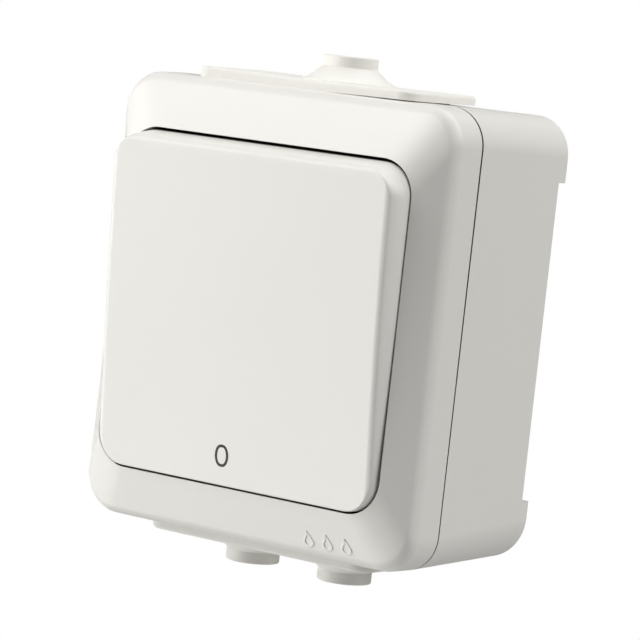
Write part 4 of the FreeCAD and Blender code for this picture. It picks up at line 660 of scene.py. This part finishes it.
def hollow_and_raise(stroke, height):
    """Turn the disc in edit mode into a raised outline of one stroke, in millimetres."""
    bpy.ops.mesh.select_all(action="SELECT")
    bpy.ops.mesh.inset(thickness=stroke * MM, depth=0.0)
    bpy.ops.mesh.delete(type="FACE")
    bpy.ops.mesh.select_all(action="SELECT")
    extrude_up(height)
    close_skin()


bpy.ops.object.select_all(action="DESELECT")
bpy.ops.mesh.primitive_circle_add(vertices=64, radius=1.0, fill_type="NGON")
off_mark = bpy.context.object
off_mark.name = "off_mark"
give_materials(off_mark, mark_ink)
for point in off_mark.data.vertices:
    point.co.x = math.copysign(abs(point.co.x) ** MARK_SQUARENESS, point.co.x)
off_mark.scale = (MARK_HALF_WIDTH * MM, MARK_HALF_HEIGHT * MM, 1.0)
bpy.ops.object.transform_apply(location=True, rotation=True, scale=True)
enter_edit(off_mark)
hollow_and_raise(STROKE, FILM)
set_in_place(off_mark, MARK_ACROSS, FACE_RISE - 0.01, MARK_UP, turn=(math.pi / 2, 0.0, 0.0))
for point in off_mark.data.vertices:
    point.co.y += crown(point.co.z / MM) * MM
set_in_place(off_mark, depth=PIVOT_DEPTH, turn=(ROCKER_TILT, 0.0, 0.0))
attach(off_mark, "rocker")


# Rating drops: three small plain drops in raised outline on the cover's lower slope. They are the same
# white plastic, moulded with the cover.
SLOPE_OUTSIDE, SLOPE_INSIDE = 39.85, 30.1
SLOPE = (RIM - SHOULDER) / (SLOPE_OUTSIDE - SLOPE_INSIDE)
DROP_FIRST, DROP_PITCH, DROP_UP = 15.4, 4.0, -36.9
DROP_RADIUS, DROP_STROKE, DROP_RISE, DROP_ROUND = 1.15, 0.42, 0.16, 0.09
DROP_NARROWING, DROP_STRETCH = 0.75, 1.8
bpy.ops.object.select_all(action="DESELECT")
bpy.ops.mesh.primitive_circle_add(vertices=32, radius=DROP_RADIUS * MM, fill_type="NGON")
first_drop = bpy.context.object
for point in first_drop.data.vertices:
    if point.co.y > 0:
        point.co.x *= 1.0 - DROP_NARROWING * point.co.y / (DROP_RADIUS * MM)
        point.co.y *= DROP_STRETCH
enter_edit(first_drop)
hollow_and_raise(DROP_STROKE, DROP_RISE)
set_in_place(first_drop, DROP_FIRST, SHOULDER + (DROP_UP + SLOPE_OUTSIDE) * SLOPE, DROP_UP,
             turn=(math.pi / 2 + math.atan(SLOPE), 0.0, 0.0))
add_modifier(first_drop, "BEVEL", width=DROP_ROUND * MM, segments=2, limit_method="ANGLE",
             angle_limit=math.radians(50))
smooth_piece(first_drop)
give_materials(first_drop, shell_plastic)


def copy_aside(piece, across):
    """A copy of a piece with its own mesh, moved to the right in millimetres."""
    choose_only(piece)
    bpy.ops.object.duplicate(linked=False)
    twin = bpy.context.object
    set_in_place(twin, across=across)
    return twin


drops = [first_drop, copy_aside(first_drop, DROP_PITCH), copy_aside(first_drop, 2 * DROP_PITCH)]
for order, drop in enumerate(drops, start=1):
    drop.name = "rating_drop_%d" % order
    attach(drop, "case")


# Cable entries: soft mouldings in white rubber, pressed into the slots between the cover and the base. Each
# has a plate outside, a neck and a lip inside, and closed hollow nipples that the fitter pierces.
SOFT_WHITE, SOFT_SHADE = (0.840, 0.825, 0.780), (0.800, 0.785, 0.735)
entry_rubber, rubber_tree, rubber_shader = plain_material("entry_rubber", SOFT_WHITE, 0.62)
rubber_clouds = add_noise(rubber_tree, 60.0, 3.0)
add_two_tones(rubber_tree, rubber_shader, vary(rubber_tree, rubber_clouds, 0.0, 0.6),
              SOFT_WHITE, SOFT_SHADE)
add_bump(rubber_tree, rubber_shader, add_noise(rubber_tree, 1800.0, 3.0), 0.2, 0.00005)

PLATE_BACK, PLATE_FRONT, PLATE_ROUND = 10.2, 32.4, 0.6
PRESSED_TO, SAG_HALF_WIDTH = 3.0, 20.0
NIPPLE_DEPTH, NIPPLE_FOOT, NIPPLE_ROOT, NIPPLE_TOP, FOOT_SETBACK = 17.8, 8.5, 40.5, 46.2, 0.3
CABLE_BORE, SKIN_FROM, BORE_BOTTOM = 3.3, 45.4, 35.0


def make_nipple(across, setback, plate_top):
    """A closed nipple on its flared foot, which ends at the back edge of its plate.

    The profile gives its radius and height from the foot up to the closed end.
    """
    profile = ((NIPPLE_FOOT, plate_top - 0.03), (7.7, plate_top + 0.25), (6.7, plate_top + 0.9),
               (5.75, plate_top + 1.7), (4.95, plate_top + 2.4), (4.85, plate_top + 2.55),
               (4.85, 45.98), (4.78, 46.13), (4.6, NIPPLE_TOP), (0.001, NIPPLE_TOP))
    bpy.ops.object.select_all(action="DESELECT")
    bpy.ops.mesh.primitive_circle_add(vertices=64, radius=NIPPLE_FOOT * MM,
                                      location=(0.0, 0.0, NIPPLE_ROOT * MM))
    nipple = bpy.context.object
    bpy.ops.object.transform_apply(location=True, rotation=True, scale=True)
    bpy.ops.object.mode_set(mode="EDIT")
    bpy.ops.mesh.select_all(action="SELECT")
    bpy.ops.mesh.edge_face_add()
    radius, level = NIPPLE_FOOT, NIPPLE_ROOT
    for next_radius, next_level in profile:
        extrude_up(next_level - level)
        share = next_radius / radius
        bpy.ops.transform.resize(value=(share, share, 1.0))
        radius, level = next_radius, next_level
    bpy.ops.mesh.select_all(action="SELECT")
    bpy.ops.mesh.remove_doubles(threshold=0.01 * MM)
    bpy.ops.mesh.normals_make_consistent(inside=False)
    depth = NIPPLE_DEPTH - setback
    bpy.ops.mesh.bisect(plane_co=(0.0, (depth - PLATE_BACK + setback - FOOT_SETBACK) * MM, 0.0),
                        plane_no=(0.0, 1.0, 0.0), clear_outer=True, use_fill=True)
    bpy.ops.object.mode_set(mode="OBJECT")
    set_in_place(nipple, across, depth)
    return nipple


def make_entry(name, nipples, plate_half_width, plate_low, plate_top,
               setback=0.0, press=0.0, sag=0.0, turn=0.0):
    """An entry for the top wall, with nipples at some places across it, turned over by half a turn below.

    The plate can sit back from the middle of its slot, its left part can press on the box, and its top
    can sag in the middle. The levels give half width, half depth, corner radius and height of the lip,
    the neck and the plate.
    """
    plate_half = (PLATE_FRONT - PLATE_BACK) / 2
    levels = (
        (21.8, 10.7, 3.5, 36.4),
        (21.8, 10.7, 3.5, 37.6),
        (19.9, 8.8, 3.5, 37.6),
        (19.9, 8.8, 3.5, plate_low),
        (plate_half_width, plate_half, 3.5, plate_low, setback),
        (plate_half_width, plate_half, 3.5, plate_top, setback),
    )
    entry = loft_outlines(name, levels, filled=(0, 5))
    round_edges(entry, lambda edge: at_depth(edge, plate_top), PLATE_ROUND, 5)
    set_in_place(entry, depth=(PLATE_BACK + PLATE_FRONT) / 2, turn=(-math.pi / 2, 0.0, 0.0))
    bpy.ops.object.mode_set(mode="EDIT")
    bpy.ops.mesh.select_all(action="SELECT")
    bpy.ops.mesh.bisect(plane_co=(PRESSED_TO * MM, 0.0, 0.0), plane_no=(1.0, 0.0, 0.0))
    bpy.ops.object.mode_set(mode="OBJECT")
    for point in entry.data.vertices:
        if abs(point.co.z - plate_low * MM) < 0.01 * MM and point.co.x < (PRESSED_TO + 0.1) * MM:
            point.co.z -= press * MM
        elif point.co.z > (plate_top - 0.7) * MM:
            point.co.z -= sag * MM * max(0.0, 1.0 - abs(point.co.x) / (SAG_HALF_WIDTH * MM))
    for across in nipples:
        unite_with(entry, make_nipple(across, setback, plate_top))
    for across in nipples:
        bpy.ops.object.select_all(action="DESELECT")
        bpy.ops.mesh.primitive_cylinder_add(
            vertices=40, radius=CABLE_BORE * MM, depth=(SKIN_FROM - BORE_BOTTOM) * MM,
            location=(across * MM, -(NIPPLE_DEPTH - setback) * MM, (SKIN_FROM + BORE_BOTTOM) / 2 * MM))
        cut_with(entry, bpy.context.object)
    set_in_place(entry, turn=(0.0, turn, 0.0))
    smooth_piece(entry)
    give_materials(entry, entry_rubber)
    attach(entry, "case")
    return entry


top_entry = make_entry("top_entry", nipples=(0.0,), plate_half_width=23.65, plate_low=40.12,
                       plate_top=41.75, press=0.24, sag=0.2)
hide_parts("top_cable_entry")
bottom_entry = make_entry("bottom_entry", nipples=(-10.2, 10.2), plate_half_width=24.15, plate_low=40.0,
                          plate_top=41.55, setback=0.7, turn=math.pi)
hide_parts("bottom_cable_entry")


# Gasket and seals: grey rubber, dull, with a trace of talc from the mould. The gasket lies in the base's
# rebate, the rocker's seal is clamped behind the pan, and each cover screw has a washer.
def give_node_material(material, *names):
    """Put a material on solids that keep their shape."""
    for name in names:
        for place in nodes[name].material_slots:
            place.link = "OBJECT"
            place.material = material


RUBBER_GREY, RUBBER_TALC = (0.070, 0.070, 0.073), (0.15, 0.15, 0.15)
grey_rubber, grey_tree, grey_shader = plain_material("grey_rubber", RUBBER_GREY, 0.75)
talc = add_noise(grey_tree, 160.0, 4.0)
add_two_tones(grey_tree, grey_shader, vary(grey_tree, talc, 0.0, 0.5), RUBBER_GREY, RUBBER_TALC)
add_bump(grey_tree, grey_shader, add_noise(grey_tree, 1500.0, 3.0), 0.25, 0.00005)
give_node_material(grey_rubber, "cover_gasket", "rocker_seal", "cover_screw_seals")


# Mechanism mouldings: the tray and its lid are a cream insulating plastic and the cradle is a black one,
# all with a dull moulded skin. The plungers are the white shell plastic, and slide in the cradle.
CREAM, CREAM_SHADE = (0.61, 0.58, 0.50), (0.54, 0.51, 0.43)
cream_insulator, cream_tree, cream_shader = plain_material("cream_insulator", CREAM, 0.55)
cream_flow = add_noise(cream_tree, 70.0, 3.0)
add_two_tones(cream_tree, cream_shader, vary(cream_tree, cream_flow, 0.0, 0.6), CREAM, CREAM_SHADE)
add_bump(cream_tree, cream_shader, add_noise(cream_tree, 1800.0, 2.0), 0.18, 0.00004)
give_node_material(cream_insulator, "mechanism_housing", "mechanism_lid")
BLACK = (0.022, 0.022, 0.024)
black_insulator, black_tree, black_shader = plain_material("black_insulator", BLACK, 0.45)
black_flow = add_noise(black_tree, 90.0, 3.0)
black_tree.links.new(vary(black_tree, black_flow, 0.38, 0.55), black_shader.inputs["Roughness"])
add_bump(black_tree, black_shader, add_noise(black_tree, 1800.0, 2.0), 0.18, 0.00004)
give_node_material(black_insulator, "switch_cradle")
give_node_material(shell_plastic, "plunger_left", "plunger_right")


# Metal parts: the terminals are brass, the contact levers are stamped copper with riveted silver contacts,
# and the screws are zinc-plated steel.
def metal_material(name, color, dull_color, roughness, scale):
    """A bare metal with cloudy tarnish and fine scratches in its gloss."""
    material, tree, shader = plain_material(name, color, roughness)
    shader.inputs["Metallic"].default_value = 1.0
    tarnish = add_noise(tree, scale, 4.0)
    add_two_tones(tree, shader, vary(tree, tarnish, 0.0, 0.7), color, dull_color)
    tree.links.new(vary(tree, add_noise(tree, scale * 9.0, 2.0), roughness - 0.07, roughness + 0.1),
                   shader.inputs["Roughness"])
    add_bump(tree, shader, add_noise(tree, scale * 14.0, 2.0), 0.1, 0.00003)
    return material


brass = metal_material("brass", (0.78, 0.58, 0.28), (0.60, 0.42, 0.19), 0.32, 120.0)
give_node_material(brass, "common_terminal_left", "common_terminal_right",
                   "load_terminal_left", "load_terminal_right")
copper = metal_material("copper", (0.80, 0.44, 0.29), (0.58, 0.30, 0.19), 0.30, 130.0)
give_node_material(copper, "contact_lever_left", "contact_lever_right")
silver = metal_material("silver_alloy", (0.88, 0.87, 0.84), (0.72, 0.70, 0.64), 0.25, 200.0)
give_node_material(silver, "moving_contact_left", "moving_contact_right", "fixed_contacts")
zinc = metal_material("zinc_plated_steel", (0.66, 0.67, 0.69), (0.56, 0.57, 0.56), 0.34, 220.0)
give_node_material(zinc, "cover_screws", "mechanism_screws", "terminal_screws")


# Plunger springs: coils of drawn steel wire in the bores of the cradle, each on the stem of its plunger.
# In the switch a plunger that slides in shortens its spring against the bore's end; here each coil is drawn
# at one length.
COIL_RADIUS, WIRE_RADIUS, COIL_LENGTH, COIL_TURNS, STEPS_PER_TURN = 1.35, 0.2, 3.9, 4.5, 24
POLE_ACROSS, CRADLE_DEPTH, COIL_SEAT, PLUNGER_TRAVEL = 8.0, 21.5, 3.15, 1.0
CRADLE_TILT = -1.42 * ROCKER_TILT
WIRE_STEEL, WIRE_DULL = (0.50, 0.50, 0.52), (0.36, 0.36, 0.38)
spring_wire = metal_material("spring_wire", WIRE_STEEL, WIRE_DULL, 0.28, 300.0)
bpy.ops.object.select_all(action="DESELECT")
bpy.ops.mesh.primitive_circle_add(vertices=10, radius=WIRE_RADIUS * MM, fill_type="NGON",
                                  location=(COIL_RADIUS * MM, 0.0, 0.0), rotation=(math.pi / 2, 0.0, 0.0))
left_coil = bpy.context.object
bpy.ops.object.transform_apply(location=True, rotation=True, scale=True)
enter_edit(left_coil)
bpy.ops.mesh.select_all(action="SELECT")
coil_steps = int(COIL_TURNS * STEPS_PER_TURN)
for step in range(coil_steps):
    extrude_up(COIL_LENGTH / coil_steps)
    bpy.ops.transform.rotate(value=-math.radians(360 / STEPS_PER_TURN), orient_axis="Z",
                             center_override=(0.0, 0.0, 0.0))
close_skin()
coil_axis = Vector((0.0, -math.cos(CRADLE_TILT), -math.sin(CRADLE_TILT)))
coil_seat = Vector((0.0, -CRADLE_DEPTH, 0.0)) - coil_axis * COIL_SEAT
set_in_place(left_coil, -POLE_ACROSS, -coil_seat.y, coil_seat.z,
             turn=(math.pi / 2 + CRADLE_TILT, 0.0, 0.0))
smooth_piece(left_coil, angle=50.0)
give_materials(left_coil, spring_wire)
right_coil = copy_aside(left_coil, 2 * POLE_ACROSS)
for side, side_name, coil in ((-1, "left", left_coil), (1, "right", right_coil)):
    coil.name = "plunger_coil_" + side_name
    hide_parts("plunger_spring_" + side_name)
    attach(coil, "cradle")
    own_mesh(coil)
